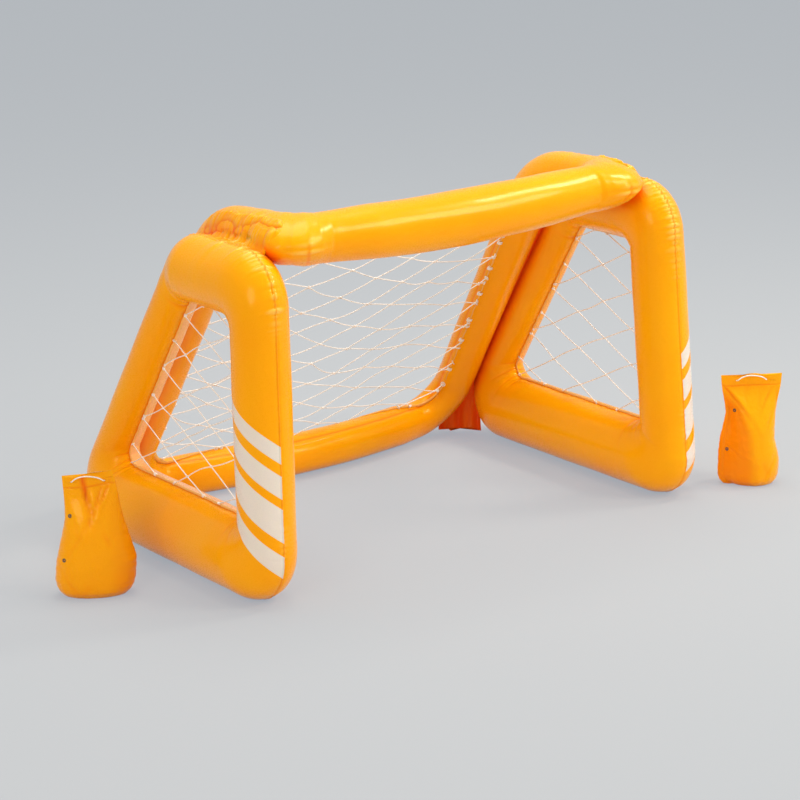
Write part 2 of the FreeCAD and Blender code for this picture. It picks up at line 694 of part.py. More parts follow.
def eyelets():
    rings = []
    for height in (size("eyelet_low"), size("eyelet_high")):
        half_width, half_depth = bag_level(height)
        x = -size("eyelet_side")
        y = -half_depth * math.sqrt(1 - (x / half_width) ** 2)
        outward = Vector(x / half_width ** 2, y / half_depth ** 2, 0).normalize()
        spot = Vector(x, y, height)
        buried = size("eyelet_radius")
        ring = Part.makeCylinder(size("eyelet_radius"), buried + size("eyelet_proud"), spot - outward * buried, outward)
        hole = Part.makeCylinder(size("eyelet_hole_radius"), 3 * buried, spot - outward * buried, outward)
        rings.append(ring.cut(hole).cut(pouch_shape))
    return Part.makeCompound(rings)


pouch_shape = pouch()
bag_places = {
    "left": Vector(-size("left_bag_side"), -size("left_bag_front"), 0),
    "right": Vector(size("right_bag_side"), -size("right_bag_front"), 0),
}
facing = Rotation(UP, -size("bag_turn"))
for name, spot in bag_places.items():
    pieces = {
        "_bag_pouch": pouch_shape,
        "_bag_header": header(),
        "_bag_cord": tube_along(CORD_ROUTE, size("bag_cord_diameter")),
        "_bag_eyelets": eyelets(),
    }
    for suffix, shape in pieces.items():
        solid_feature(name + suffix, shape).Placement = Placement(spot, facing)

document.recompute()
for thing in document.Objects:
    if "Invalid" in thing.State or "Error" in thing.State:
        raise RuntimeError("%s failed: %s" % (thing.Label, thing.State))
for thing in subparts:
    if thing.Shape.isNull() or not thing.Shape.isValid():
        raise RuntimeError("%s has no valid shape" % thing.Label)

os.makedirs("parts", exist_ok=True)
for thing in subparts:
    thing.Shape.exportStep("parts/%s.step" % thing.Label)
    print("%-22s %d solids, %.1f cm3" % (thing.Label, len(thing.Shape.Solids), thing.Shape.Volume / 1000))
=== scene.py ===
import math

import bpy
import numpy as np
from mathutils import Matrix, Vector
from mathutils.bvhtree import BVHTree
from mathutils.kdtree import KDTree


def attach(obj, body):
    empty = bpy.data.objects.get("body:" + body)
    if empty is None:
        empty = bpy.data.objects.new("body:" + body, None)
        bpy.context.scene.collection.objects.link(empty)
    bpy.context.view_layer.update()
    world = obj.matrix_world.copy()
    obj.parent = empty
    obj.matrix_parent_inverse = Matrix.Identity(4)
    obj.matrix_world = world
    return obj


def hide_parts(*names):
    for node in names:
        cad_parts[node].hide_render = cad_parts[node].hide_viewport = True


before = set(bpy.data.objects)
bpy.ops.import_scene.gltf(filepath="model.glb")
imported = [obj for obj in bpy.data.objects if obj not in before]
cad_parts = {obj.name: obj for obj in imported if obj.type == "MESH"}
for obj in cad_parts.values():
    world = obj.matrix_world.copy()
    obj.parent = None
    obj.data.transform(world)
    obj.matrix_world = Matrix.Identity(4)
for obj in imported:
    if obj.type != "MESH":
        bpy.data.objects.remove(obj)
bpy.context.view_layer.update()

scene = bpy.context.scene


# The camera stands to the goal's left front, a little above the crossbar, with a long lens.
camera_place = Vector((-3.6886, -5.2416, 2.1533))
camera_yaw, camera_dip, camera_roll = 0.6187, 0.2847, -0.0251
forward = Vector((math.sin(camera_yaw) * math.cos(camera_dip),
                  math.cos(camera_yaw) * math.cos(camera_dip), -math.sin(camera_dip)))
level = Vector((math.cos(camera_yaw), -math.sin(camera_yaw), 0))
above = level.cross(forward)
rightward = level * math.cos(camera_roll) + above * math.sin(camera_roll)
upward = above * math.cos(camera_roll) - level * math.sin(camera_roll)
camera = bpy.data.objects.new("photo_camera", bpy.data.cameras.new("photo_camera"))
camera.data.sensor_width = 36
camera.data.lens = 121.6
camera.data.clip_end = 100
camera.matrix_world = Matrix((
    (rightward.x, upward.x, -forward.x, camera_place.x),
    (rightward.y, upward.y, -forward.y, camera_place.y),
    (rightward.z, upward.z, -forward.z, camera_place.z),
    (0, 0, 0, 1)))
scene.collection.objects.link(camera)
scene.camera = camera
scene.view_settings.view_transform = "Standard"


def add(tree, kind, inputs=None, **settings):
    """Place a node, give it its settings, and join or set its inputs."""
    node = tree.nodes.new(kind)
    for key, value in settings.items():
        setattr(node, key, value)
    for key, value in (inputs or {}).items():
        if isinstance(value, bpy.types.NodeSocket):
            tree.links.new(value, node.inputs[key])
        else:
            node.inputs[key].default_value = value
    return node


# Studio: a pale matt floor and four soft lamps, with the same pale tone behind everything.
floor_tone = (0.46, 0.54, 0.62, 1)
floor_mesh = bpy.data.meshes.new("studio_floor")
reach = 40.0
floor_mesh.from_pydata([(-reach, -reach, -0.0004), (reach, -reach, -0.0004),
                        (reach, reach, -0.0004), (-reach, reach, -0.0004)], [], [(0, 1, 2, 3)])
floor = bpy.data.objects.new("studio_floor", floor_mesh)
scene.collection.objects.link(floor)
floor_finish = bpy.data.materials.new("pale_floor")
floor_finish.use_nodes = True
tree = floor_finish.node_tree
grain = add(tree, "ShaderNodeTexNoise", {"Scale": 6.0, "Detail": 2.0,
            "Vector": add(tree, "ShaderNodeTexCoord").outputs["Object"]})
tree.nodes["Principled BSDF"].inputs["Base Color"].default_value = (0.66, 0.63, 0.60, 1)
glow = add(tree, "ShaderNodeEmission", {"Color": floor_tone, "Strength": 1.0})
path = add(tree, "ShaderNodeLightPath")
looked_at = add(tree, "ShaderNodeMath", {0: path.outputs["Is Camera Ray"], 1: path.outputs["Is Glossy Ray"]},
                operation="MAXIMUM")
looked_at = add(tree, "ShaderNodeMath", {0: looked_at.outputs[0], 1: path.outputs["Is Transmission Ray"]},
                operation="MAXIMUM")
looked_at = add(tree, "ShaderNodeMath", {0: looked_at.outputs[0], 1: 0.66}, operation="MULTIPLY")
even = add(tree, "ShaderNodeMixShader", {0: looked_at.outputs[0], 1: tree.nodes["Principled BSDF"].outputs[0],
           2: glow.outputs[0]})
tree.links.new(even.outputs[0], tree.nodes["Material Output"].inputs["Surface"])
tree.links.new(add(tree, "ShaderNodeMapRange", {"Value": grain.outputs[0], 3: 0.7, 4: 0.8}).outputs[0],
               tree.nodes["Principled BSDF"].inputs["Roughness"])
floor_mesh.materials.append(floor_finish)

world = bpy.data.worlds.new("studio")
scene.world = world
world.use_nodes = True
tree = world.node_tree
tree.nodes.clear()
path = add(tree, "ShaderNodeLightPath")
seen = add(tree, "ShaderNodeMath", {0: path.outputs["Is Camera Ray"], 1: path.outputs["Is Glossy Ray"]},
           operation="MAXIMUM")
seen = add(tree, "ShaderNodeMath", {0: seen.outputs[0], 1: path.outputs["Is Transmission Ray"]},
           operation="MAXIMUM")
room = add(tree, "ShaderNodeBackground", {"Color": (1.0, 0.82, 0.64, 1), "Strength": 0.66})
behind = add(tree, "ShaderNodeBackground", {"Color": floor_tone, "Strength": 1.0})
chosen = add(tree, "ShaderNodeMixShader", {0: seen.outputs[0], 1: room.outputs[0], 2: behind.outputs[0]})
add(tree, "ShaderNodeOutputWorld", {0: chosen.outputs[0]})

for name, place, width, power, tone in (
        ("key_lamp", (3.2, -4.2, 3.9), 2.2, 142, (1.0, 0.99, 0.92)),
        ("fill_lamp", (-4.6, -2.4, 2.6), 2.2, 58, (1.0, 0.96, 0.90)),
        ("top_lamp", (0.3, 0.4, 4.4), 3.0, 92, (1.0, 1.0, 0.94)),
        ("strip_lamp", (2.25, -1.05, 3.0), 0.75, 38, (1.0, 1.0, 0.93))):
    lamp = bpy.data.objects.new(name, bpy.data.lights.new(name, "AREA"))
    lamp.data.shape = "DISK"
    lamp.data.size = width
    lamp.data.energy = power
    lamp.data.color = tone
    lamp.location = place
    lamp.rotation_euler = (Vector((0, 0, 0.35)) - Vector(place)).to_track_quat("-Z", "Y").to_euler()
    scene.collection.objects.link(lamp)


# Carrying cords: thin white braided cord through two holes in each bag's header, so stiff that it
# stands in a low arc. Its two ends go back through the header.
bag_turn = Matrix.Rotation(math.radians(-32), 4, "Z")
bag_places = {"left": Matrix.Translation((-0.882, -0.070, 0)) @ bag_turn,
              "right": Matrix.Translation((0.822, -0.432, 0)) @ bag_turn}
cord_width = 0.003
cord_route = [(-0.038, 0.0015, 0.2715), (-0.038, -0.0106, 0.2715), (-0.02812, -0.0145, 0.2820),
              (-0.01064, -0.0132, 0.28662), (0.0095, -0.01385, 0.2855), (0.02736, -0.0145, 0.2813),
              (0.038, -0.0106, 0.2715), (0.038, 0.0015, 0.2715)]


def mottled(name, tones, patches, roughness, relief, depth, plait=None):
    """A finish of two tones in patches, with a plait or the same patches in its roughness and bump."""
    finish = bpy.data.materials.new(name)
    finish.use_nodes = True
    tree = finish.node_tree
    spot = add(tree, "ShaderNodeTexCoord").outputs["Object"]
    patch = add(tree, "ShaderNodeTexNoise", {"Vector": spot, "Scale": patches[0], "Detail": patches[1]})
    pattern = patch.outputs[0]
    if plait:
        pattern = add(tree, "ShaderNodeTexWave", {"Vector": spot, "Scale": plait[0], "Distortion": plait[1]},
                      bands_direction="DIAGONAL").outputs[1]
    tone = add(tree, "ShaderNodeMix", {0: patch.outputs[0], 6: (*tones[0], 1), 7: (*tones[1], 1)},
               data_type="RGBA")
    bump = add(tree, "ShaderNodeBump", {"Height": pattern, "Strength": relief, "Distance": depth})
    rough = add(tree, "ShaderNodeMapRange", {"Value": pattern, 3: roughness[0], 4: roughness[1]})
    shader = tree.nodes["Principled BSDF"]
    tree.links.new(tone.outputs[2], shader.inputs["Base Color"])
    tree.links.new(bump.outputs[0], shader.inputs["Normal"])
    tree.links.new(rough.outputs[0], shader.inputs["Roughness"])
    return finish


braid = mottled("white_braid", ((0.80, 0.79, 0.77), (0.93, 0.93, 0.92)), (60.0, 3.0), (0.6, 0.8), 0.5, 0.0004,
                plait=(420.0, 2.0))
for side, place in bag_places.items():
    line = bpy.data.curves.new(side + "_carrying_cord", "CURVE")
    line.dimensions = "3D"
    spline = line.splines.new("NURBS")
    spline.points.add(len(cord_route) - 1)
    for knot, point in zip(spline.points, cord_route):
        knot.co = (*(place @ Vector(point)), 1)
    spline.order_u = 3
    spline.use_endpoint_u = True
    line.resolution_u = 8
    line.bevel_depth = cord_width / 2
    line.bevel_resolution = 3
    line.use_fill_caps = True
    cord = bpy.data.objects.new(side + "_carrying_cord", line)
    scene.collection.objects.link(cord)
    line.materials.append(braid)
    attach(cord, side + "_bag")
    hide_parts(side + "_bag_cord")


# Side frames: each is an air chamber of two glossy orange vinyl sheets, welded together along the outer
# edge and round the opening, so the skin gathers along both welds and buckles at the opening's corners.
sheet_foot, sheet_lean = 0.603, 0.034125
frame_corners = np.array([(-0.445, 0), (0.503, 0), (-0.0485, 0.80), (-0.407, 0.80)])
tube_depths = (0.176, 0.0956, 0.155, 0.1336)
tube_widths = (0.176, 0.112, 0.145, 0.134)
corner_radii = (0.110, 0.120, 0.100, 0.120)
opening_radius = 0.030


def unit(vectors):
    return vectors / np.linalg.norm(vectors, axis=-1, keepdims=True)


def inset(corners, depths):
    """Corners of the outline whose edges lie inside by their own depths."""
    ways = unit(np.roll(corners, -1, 0) - corners)
    inner = []
    for number, corner in enumerate(corners):
        before, after = ways[number - 1], ways[number]
        sine = before[0] * after[1] - before[1] * after[0]
        inner.append(corner + (after * depths[number - 1] - before * depths[number]) / sine)
    return np.array(inner)


def rounded(corners, radii, steps):
    """One arc of points for each corner of a closed outline."""
    ways = unit(np.roll(corners, -1, 0) - corners)
    arcs = []
    for number, corner in enumerate(corners):
        before, after = ways[number - 1], ways[number]
        turn = math.acos(np.clip(before @ after, -1, 1))
        start = corner - before * radii[number] * math.tan(turn / 2)
        centre = start + np.array((-before[1], before[0])) * radii[number]
        angles = np.linspace(0, turn, steps + 1)
        arm = start - centre
        arcs.append(np.stack([centre[0] + arm[0] * np.cos(angles) - arm[1] * np.sin(angles),
                              centre[1] + arm[0] * np.sin(angles) + arm[1] * np.cos(angles)], 1))
    return arcs


def skin(name, points, finish, marks=None, wraps=True):
    """A closed smooth surface over a grid whose rows close on themselves."""
    rows, columns = points.shape[:2]
    number = np.arange(rows * columns).reshape(rows, columns)
    here, there = (number, np.roll(number, -1, 0)) if wraps else (number[:-1], number[1:])
    quads = np.stack([here, there, np.roll(there, -1, 1), np.roll(here, -1, 1)], -1).reshape(-1, 4)
    spots = points.reshape(-1, 3)
    faces = quads.tolist()
    if not wraps:
        spots = np.concatenate([spots, points[:1].mean(1), points[-1:].mean(1)])
        for rim, centre, turned in ((number[0], len(spots) - 2, False), (number[-1], len(spots) - 1, True)):
            for one, other in zip(rim.tolist(), np.roll(rim, -1).tolist()):
                faces.append([centre, other, one] if turned else [centre, one, other])
    first, second, third, fourth = (spots[quads[:, corner]] for corner in range(4))
    bulk = np.einsum("ij,ij->i", first, np.cross(second, third) + np.cross(third, fourth)).sum()
    if bulk < 0:
        faces = [face[::-1] for face in faces]
    mesh = bpy.data.meshes.new(name)
    mesh.from_pydata(spots.tolist(), [], faces)
    mesh.polygons.foreach_set("use_smooth", np.ones(len(faces), bool))
    for label, values in (marks or {}).items():
        values = np.broadcast_to(values, (rows, columns)).reshape(-1)
        values = np.concatenate([values, np.zeros(len(spots) - len(values))])
        mesh.attributes.new(label, "FLOAT", "POINT").data.foreach_set("value", values.astype(np.float32))
    piece = bpy.data.objects.new(name, mesh)
    scene.collection.objects.link(piece)
    mesh.materials.append(finish)
    return piece


def gathers(run, away, spacing, spread, seed, closed=True):
    """Ridges across a weld, rounded on top and sharp between, which fade away from it."""
    chance = np.random.default_rng(seed)
    count = max(3, round(run[-1] / spacing))
    edges = np.concatenate([[0], np.cumsum(chance.uniform(0.55, 1.55, count))])
    edges *= run[-1] * (1 + 1e-9) / edges[-1]
    at = np.clip(np.searchsorted(edges, run, side="right") - 1, 0, count - 1)
    share = (run - edges[at]) / (edges[at + 1] - edges[at])
    tall = chance.uniform(0.25, 1.5, count)[at]
    long = chance.uniform(0.45, 1.6, count)[at] * spread
    return (np.sin(np.pi * share) ** 0.8 * tall)[:, None] * np.exp(-away / long[:, None])


def frame_line(side, outline):
    """Points of a side frame's plane, from their place in it."""
    return np.stack([side * (sheet_foot - sheet_lean * outline[:, 1]), outline[:, 0], outline[:, 1]], 1)


def frame_stations():
    """Matching points of the outer and inner outline, with the tube's width between them."""
    steps = 64
    outer_arcs = rounded(frame_corners, corner_radii, steps)
    inner_corners = inset(frame_corners, tube_depths)
    inner_arcs = rounded(inner_corners, [opening_radius] * 4, steps)
    outer, inner, width, corner = [], [], [], []
    for number in range(4):
        share = np.linspace(0, 1, steps + 1)
        ease = share * share * (3 - 2 * share)
        outer.append(outer_arcs[number])
        inner.append(inner_arcs[number])
        width.append(tube_widths[number - 1] * (1 - ease) + tube_widths[number] * ease)
        far_end, near_end = outer_arcs[(number + 1) % 4][0], inner_arcs[(number + 1) % 4][0]
        length = np.linalg.norm(far_end - outer_arcs[number][-1])
        run = np.linspace(0, 1, max(6, round(length / 0.0034)) + 1)[1:-1, None]
        outer.append(outer_arcs[number][-1] * (1 - run) + far_end * run)
        inner.append(inner_arcs[number][-1] * (1 - run) + near_end * run)
        width.append(np.full(len(run), tube_widths[number]))
    return np.concatenate(outer), np.concatenate(inner), np.concatenate(width), inner_corners


def round_angles(count, crowding):
    """Angles round a tube, closer together at its two welds."""
    even = np.linspace(0, 2 * np.pi, count, endpoint=False)
    return even - crowding * np.sin(2 * even) / 2


def run_along(points):
    steps = np.linalg.norm(np.roll(points, -1, 0) - points, axis=-1)
    return np.concatenate([[0], np.cumsum(steps[:-1])])


def arc_round(points):
    """Distance round each section from its first point, and the whole way round."""
    steps = np.linalg.norm(np.roll(points, -1, 1) - points, axis=-1)
    return np.concatenate([np.zeros((len(points), 1)), np.cumsum(steps, 1)[:, :-1]], 1), steps.sum(1)[:, None]


def effect(name, inputs, outputs):
    """An empty shader group with named inputs and outputs."""
    group = bpy.data.node_groups.new(name, "ShaderNodeTree")
    for label, kind, value in inputs:
        group.interface.new_socket(label, in_out="INPUT", socket_type=kind).default_value = value
    for label, kind in outputs:
        group.interface.new_socket(label, in_out="OUTPUT", socket_type=kind)
    return group, group.nodes.new("NodeGroupInput"), group.nodes.new("NodeGroupOutput")


# Thin vinyl varies a little in tone at random, goes deep red at its welds and as painted shade in its creases and
# where parts touch, gets painted highlights on the gathered crests and a painted glow of light coming through it,
# and shows soft ripples.
vinyl_skin, given, result = effect(
    "vinyl_skin",
    [("Colour", "NodeSocketColor", (0.90, 0.34, 0.01, 1)), ("Light", "NodeSocketColor", (0.95, 0.45, 0.02, 1)),
     ("Deep", "NodeSocketColor", (0.70, 0.08, 0.003, 1)), ("Deep Tone And Shade", "NodeSocketFloat", 0.0),
     ("Ripple", "NodeSocketFloat", 1.0), ("Ripple Scale", "NodeSocketFloat", 9.0)],
    [("Colour", "NodeSocketColor"), ("Roughness", "NodeSocketFloat"), ("Height", "NodeSocketFloat")])
spot = add(vinyl_skin, "ShaderNodeTexCoord").outputs["Object"]
cloud = add(vinyl_skin, "ShaderNodeTexNoise", {"Vector": spot, "Scale": 3.1, "Detail": 2.0})
ripple = add(vinyl_skin, "ShaderNodeTexNoise", {"Vector": spot, "Scale": given.outputs["Ripple Scale"],
             "Detail": 3.0, "Distortion": 0.7})
pores = add(vinyl_skin, "ShaderNodeTexNoise", {"Vector": spot, "Scale": 420.0, "Detail": 1.0})
share = add(vinyl_skin, "ShaderNodeMapRange", {"Value": cloud.outputs[0], 1: 0.38, 2: 0.66, 3: 0.0, 4: 0.6})
tone = add(vinyl_skin, "ShaderNodeMix",
           {0: share.outputs[0], 6: given.outputs["Colour"], 7: given.outputs["Light"]}, data_type="RGBA")
# Painted shade: the deep red is mixed in along creases and where parts touch; along the welds it is the sheet's own
# deep tone.
deep_tone_and_shade_mix = add(vinyl_skin, "ShaderNodeMix", {0: given.outputs["Deep Tone And Shade"], 6: tone.outputs[2], 7: given.outputs["Deep"]},
             data_type="RGBA")
dull = add(vinyl_skin, "ShaderNodeMapRange", {"Value": pores.outputs[0], 3: 0.22, 4: 0.34})
duller = add(vinyl_skin, "ShaderNodeMath", {0: given.outputs["Deep Tone And Shade"], 1: 0.25, 2: dull.outputs[0]},
             operation="MULTIPLY_ADD")
swell = add(vinyl_skin, "ShaderNodeMath", {0: ripple.outputs[0], 1: given.outputs["Ripple"]}, operation="MULTIPLY")
height = add(vinyl_skin, "ShaderNodeMath", {0: pores.outputs[0], 1: 0.012, 2: swell.outputs[0]},
             operation="MULTIPLY_ADD")
vinyl_skin.links.new(deep_tone_and_shade_mix.outputs[2], result.inputs["Colour"])
vinyl_skin.links.new(duller.outputs[0], result.inputs["Roughness"])
vinyl_skin.links.new(height.outputs[0], result.inputs["Height"])


def vinyl(name, colours, ripple, ripple_scale=9.0, depth=0.003):
    """Glossy orange vinyl; returns the material and what it needs to be added to."""
    finish = bpy.data.materials.new(name)
    finish.use_nodes = True
    tree = finish.node_tree
    deep_tone_and_shade = add(tree, "ShaderNodeAttribute", attribute_name="deep_tone_and_shade")
    group = add(tree, "ShaderNodeGroup", node_tree=vinyl_skin)
    for label, colour in zip(("Colour", "Light", "Deep"), colours):
        group.inputs[label].default_value = (*colour, 1)
    group.inputs["Ripple"].default_value = ripple
    group.inputs["Ripple Scale"].default_value = ripple_scale
    tree.links.new(deep_tone_and_shade.outputs["Fac"], group.inputs["Deep Tone And Shade"])
    # Painted highlight: a paler yellow-orange is laid on the tops of the gathered ridges beside the welds.
    crest_highlight = add(tree, "ShaderNodeMath", {0: add(tree, "ShaderNodeAttribute", attribute_name="crest_highlight").outputs["Fac"],
                1: 0.75}, operation="MULTIPLY")
    highlighted = add(tree, "ShaderNodeMix", {0: crest_highlight.outputs[0], 6: group.outputs["Colour"], 7: (0.98, 0.60, 0.11, 1)},
                data_type="RGBA")
    # Painted light: where the thin mark is set, a pale peach glow stands in for light coming through the vinyl.
    thin = add(tree, "ShaderNodeMath", {0: add(tree, "ShaderNodeAttribute", attribute_name="thin").outputs["Fac"],
               1: 0.72}, operation="MULTIPLY")
    lit = add(tree, "ShaderNodeMix", {0: thin.outputs[0], 6: highlighted.outputs[2], 7: (1.0, 0.60, 0.30, 1)},
              data_type="RGBA")
    lit.name = "tone"
    bump = add(tree, "ShaderNodeBump", {"Height": group.outputs["Height"], "Strength": 0.6, "Distance": depth})
    shader = tree.nodes["Principled BSDF"]
    shader.inputs["Specular IOR Level"].default_value = 0.30
    shader.inputs["Specular Tint"].default_value = (1.0, 0.74, 0.16, 1)
    shader.inputs["Coat Weight"].default_value = 0.12
    shader.inputs["Coat Roughness"].default_value = 0.10
    shader.inputs["Subsurface Weight"].default_value = 0.12
    shader.inputs["Subsurface Radius"].default_value = (1.0, 0.35, 0.08)
    shader.inputs["Subsurface Scale"].default_value = 0.02
    tree.links.new(lit.outputs[2], shader.inputs["Base Color"])
    tree.links.new(group.outputs["Roughness"], shader.inputs["Roughness"])
    tree.links.new(bump.outputs[0], shader.inputs["Normal"])
    return finish, tree, group, shader


# Base tone, a lighter tone mixed in at random, and the deep red of the welds that also serves as painted shade.
orange_tones = ((0.96, 0.378, 0.001), (0.97, 0.465, 0.002), (0.92, 0.110, 0.001))
frame_vinyl, tree, group, shader = vinyl("printed_orange_vinyl", orange_tones, 1.0)
# Four slanted pale bands are printed on the outer sheet of each front post.
spread = add(tree, "ShaderNodeAttribute", attribute_name="band").outputs["Fac"]
printed = None
for low, high in ((0.072, 0.124), (0.156, 0.234), (0.257, 0.310), (0.338, 0.378)):
    one = add(tree, "ShaderNodeMath", {0: spread, 1: (low + high) / 2, 2: (high - low) / 2}, operation="COMPARE")
    printed = one if printed is None else add(tree, "ShaderNodeMath", {0: printed.outputs[0], 1: one.outputs[0]},
                                              operation="ADD")
outside = add(tree, "ShaderNodeMath", {0: add(tree, "ShaderNodeAttribute", attribute_name="sheet").outputs["Fac"],
              1: 0.0}, operation="GREATER_THAN")
place = add(tree, "ShaderNodeSeparateXYZ", {0: add(tree, "ShaderNodeTexCoord").outputs["Object"]})
on_post = add(tree, "ShaderNodeMath", {0: place.outputs["Y"], 1: -0.300}, operation="LESS_THAN")
mask = add(tree, "ShaderNodeMath", {0: outside.outputs[0], 1: on_post.outputs[0]}, operation="MULTIPLY")
mask = add(tree, "ShaderNodeMath", {0: mask.outputs[0], 1: printed.outputs[0]}, operation="MULTIPLY")
chalk_tone = (0.76, 0.735, 0.72, 1)
chalk = add(tree, "ShaderNodeMix", {0: mask.outputs[0], 6: tree.nodes["tone"].outputs[2], 7: chalk_tone},
            data_type="RGBA")
tree.links.new(chalk.outputs[2], shader.inputs["Base Color"])

outer_line, inner_line, frame_width, inner_corners = frame_stations()
bottom_radius = tube_depths[0] / 2
valve_seats = {"left": (-0.512, 0.173, bottom_radius), "right": (0.688, 0.173, bottom_radius)}
valve_pit_radius, valve_pit_depth = 0.0165, 0.018
frame_points, frame_marks = {}, {}
for name, side in (("left", -1), ("right", 1)):
    far, near = frame_line(side, outer_line), frame_line(side, inner_line)
    angles = round_angles(80, 0.62)
    reach = (far - near) / 2
    half = np.zeros_like(reach)
    half[:, 0] = side * frame_width / 2
    points = ((far + near) / 2)[:, None] + reach[:, None] * np.cos(angles)[:, None] \
        + half[:, None] * np.sin(angles)[:, None]
    normals = unit(reach[:, None] / (reach ** 2).sum(1)[:, None, None] * np.cos(angles)[:, None]
                   + half[:, None] / (half ** 2).sum(1)[:, None, None] * np.sin(angles)[:, None])
    arc, whole = arc_round(points)
    from_outer = np.minimum(arc, whole - arc)
    from_inner = np.abs(arc - whole / 2)
    outer_run, inner_run = run_along(far), run_along(near)
    middle_run = (outer_run + inner_run) / 2
    bend = np.zeros(len(far))
    for corner in frame_line(side, inner_corners):
        bend = np.maximum(bend, np.exp(-(np.linalg.norm(near - corner, axis=1) / 0.050) ** 2))
    seed = 11 if side < 0 else 23
    upper = np.clip((far[:, 2] - 0.58) / 0.17, 0, 1)
    chance = np.random.default_rng(seed + 9)
    bunch = np.zeros(len(far))
    for spot in chance.uniform(0, outer_run[-1], 9):
        bunch += np.exp(-((outer_run - spot) / chance.uniform(0.025, 0.06)) ** 2)
    bunch = np.clip(bunch, 0, 1)
    seam_ridge = gathers(outer_run, from_outer, 0.0135, 0.013, seed)
    front_corner = np.clip((far[:, 2] - 0.62) / 0.08, 0, 1) * np.clip((-0.24 - far[:, 1]) / 0.06, 0, 1)
    strength = np.clip(0.30 * bunch + upper * (0.35 + 0.65 * bunch) + front_corner, 0, 1)[:, None]
    push = seam_ridge * (0.0007 + 0.0048 * strength)
    # Painted highlight mark: paler colour on the tops of the tall gathers by the outer weld, strongest near the
    # top.
    crest_highlight = np.clip((seam_ridge - 0.22) / 0.30, 0, 1) * strength * np.clip((from_outer - 0.0010) / 0.001, 0, 1)
    push += gathers(outer_run, from_outer, 0.041, 0.034, seed + 1) * (0.0007 + 0.0012 * upper)[:, None]
    push += gathers(inner_run, from_inner, 0.015, 0.012, seed + 2) * (0.0009 + 0.0006 * bend)[:, None]
    push += gathers(middle_run, from_inner, 0.034, 0.034, seed + 3) * (0.0006 + 0.0030 * bend)[:, None]
    push -= 0.0016 * np.exp(-(from_outer / 0.005) ** 2) + 0.0016 * np.exp(-(from_inner / 0.005) ** 2)
    push += 0.0028 * np.exp(-(from_outer / 0.0009) ** 2) + 0.0020 * np.exp(-(from_inner / 0.0009) ** 2)
    chance = np.random.default_rng(seed + 7)
    deep_tone_and_shade = np.zeros_like(push)
    for corner in frame_line(side, inner_corners):
        centre = middle_run[np.argmin(np.linalg.norm(near - corner, axis=1))]
        for number in range(7):
            spot = centre + (number - 3) * 0.021 + chance.uniform(-0.006, 0.006)
            lean = (number - 3) * 0.10 + chance.uniform(-0.25, 0.25)
            long = chance.uniform(0.030, 0.075)
            way = 1 if number % 2 else -1
            facing = (np.sin(angles) * way > 0)[None, :]
            cut = np.exp(-((middle_run[:, None] - spot - lean * from_inner) / 0.0055) ** 2)
            cut = cut * np.exp(-(from_inner / long) ** 2) * facing
            push -= cut * chance.uniform(0.0008, 0.0024)
            # Painted shade: the deep red tone is laid in the wrinkles at each inner corner of the opening.
            deep_tone_and_shade = np.maximum(deep_tone_and_shade, 0.35 * cut)
    sway = np.sin(middle_run / 0.047 + 2.0 * side)[:, None]
    push += 0.0007 * sway * np.cos(2 * angles + middle_run[:, None] / 0.09)
    points = points + normals * push[..., None]
    seat = np.array(valve_seats[name])
    around_valve = np.hypot(points[..., 1] - seat[1], points[..., 2] - seat[2])
    pit = (around_valve < valve_pit_radius) & (normals[..., 0] > 0)
    points[..., 0] -= valve_pit_depth * pit
    points[..., 2] = np.maximum(points[..., 2], 0.0)
    # Along both welds the mark gives the seam its own deep tone.
    deep_tone_and_shade = np.maximum(deep_tone_and_shade, 0.50 * np.exp(-(from_outer / 0.0011) ** 2))
    deep_tone_and_shade = np.maximum(deep_tone_and_shade, 0.55 * np.exp(-(from_inner / 0.003) ** 2))
    # Painted light: on the left frame only, the goal-side sheet round the opening is marked for a pale glow
    # standing in for light through the vinyl.
    inner_wall_glow = np.exp(-(from_inner / 0.062) ** 4) * (np.sin(angles) < 0)[None, :] * (name == "left")
    frame_points[name] = points
    band = points[..., 2] - 0.77 * np.minimum(arc, whole - arc)
    frame_marks[name] = {"deep_tone_and_shade": deep_tone_and_shade, "band": band, "thin": inner_wall_glow, "crest_highlight": crest_highlight,
                         "sheet": np.broadcast_to(np.sin(angles), push.shape)}


# Main loop: one round air tube that makes the crossbar, both top runs, both rear struts and the rear bar.
# Its ends at the front are spread out flat over the side frames and welded down there.
bar_height, bar_radius = 0.053, 0.053
loop_bends = {
    "middle": (np.array((0, -0.325, 0.787)), 5.0), "front": (np.array((0.469, -0.310, 0.806)), 0.085),
    "rear": (np.array((0.469, -0.035, 0.798)), 0.170), "foot": (np.array((0.5042, 0.452, bar_height)), 0.110),
    "bar": (np.array((0, 0.340, bar_height)), 1.5)}
strut_foot = loop_bends["foot"][0]
strut_lean = (strut_foot - loop_bends["rear"][0]) / (loop_bends["rear"][0][2] - bar_height)
straight_up = np.array((0, 0, 1.0))


def bend_points(before, corner, after, radius, steps):
    """Arc that rounds a corner of the tube's axis."""
    into, out = unit(corner - before), unit(after - corner)
    turn = math.acos(np.clip(into @ out, -1, 1))
    start = corner - into * radius * math.tan(turn / 2)
    inward = unit(out - into * (into @ out))
    angles = np.linspace(0, turn, steps + 1)[:, None]
    return start + radius * (np.sin(angles) * into + (1 - np.cos(angles)) * inward)


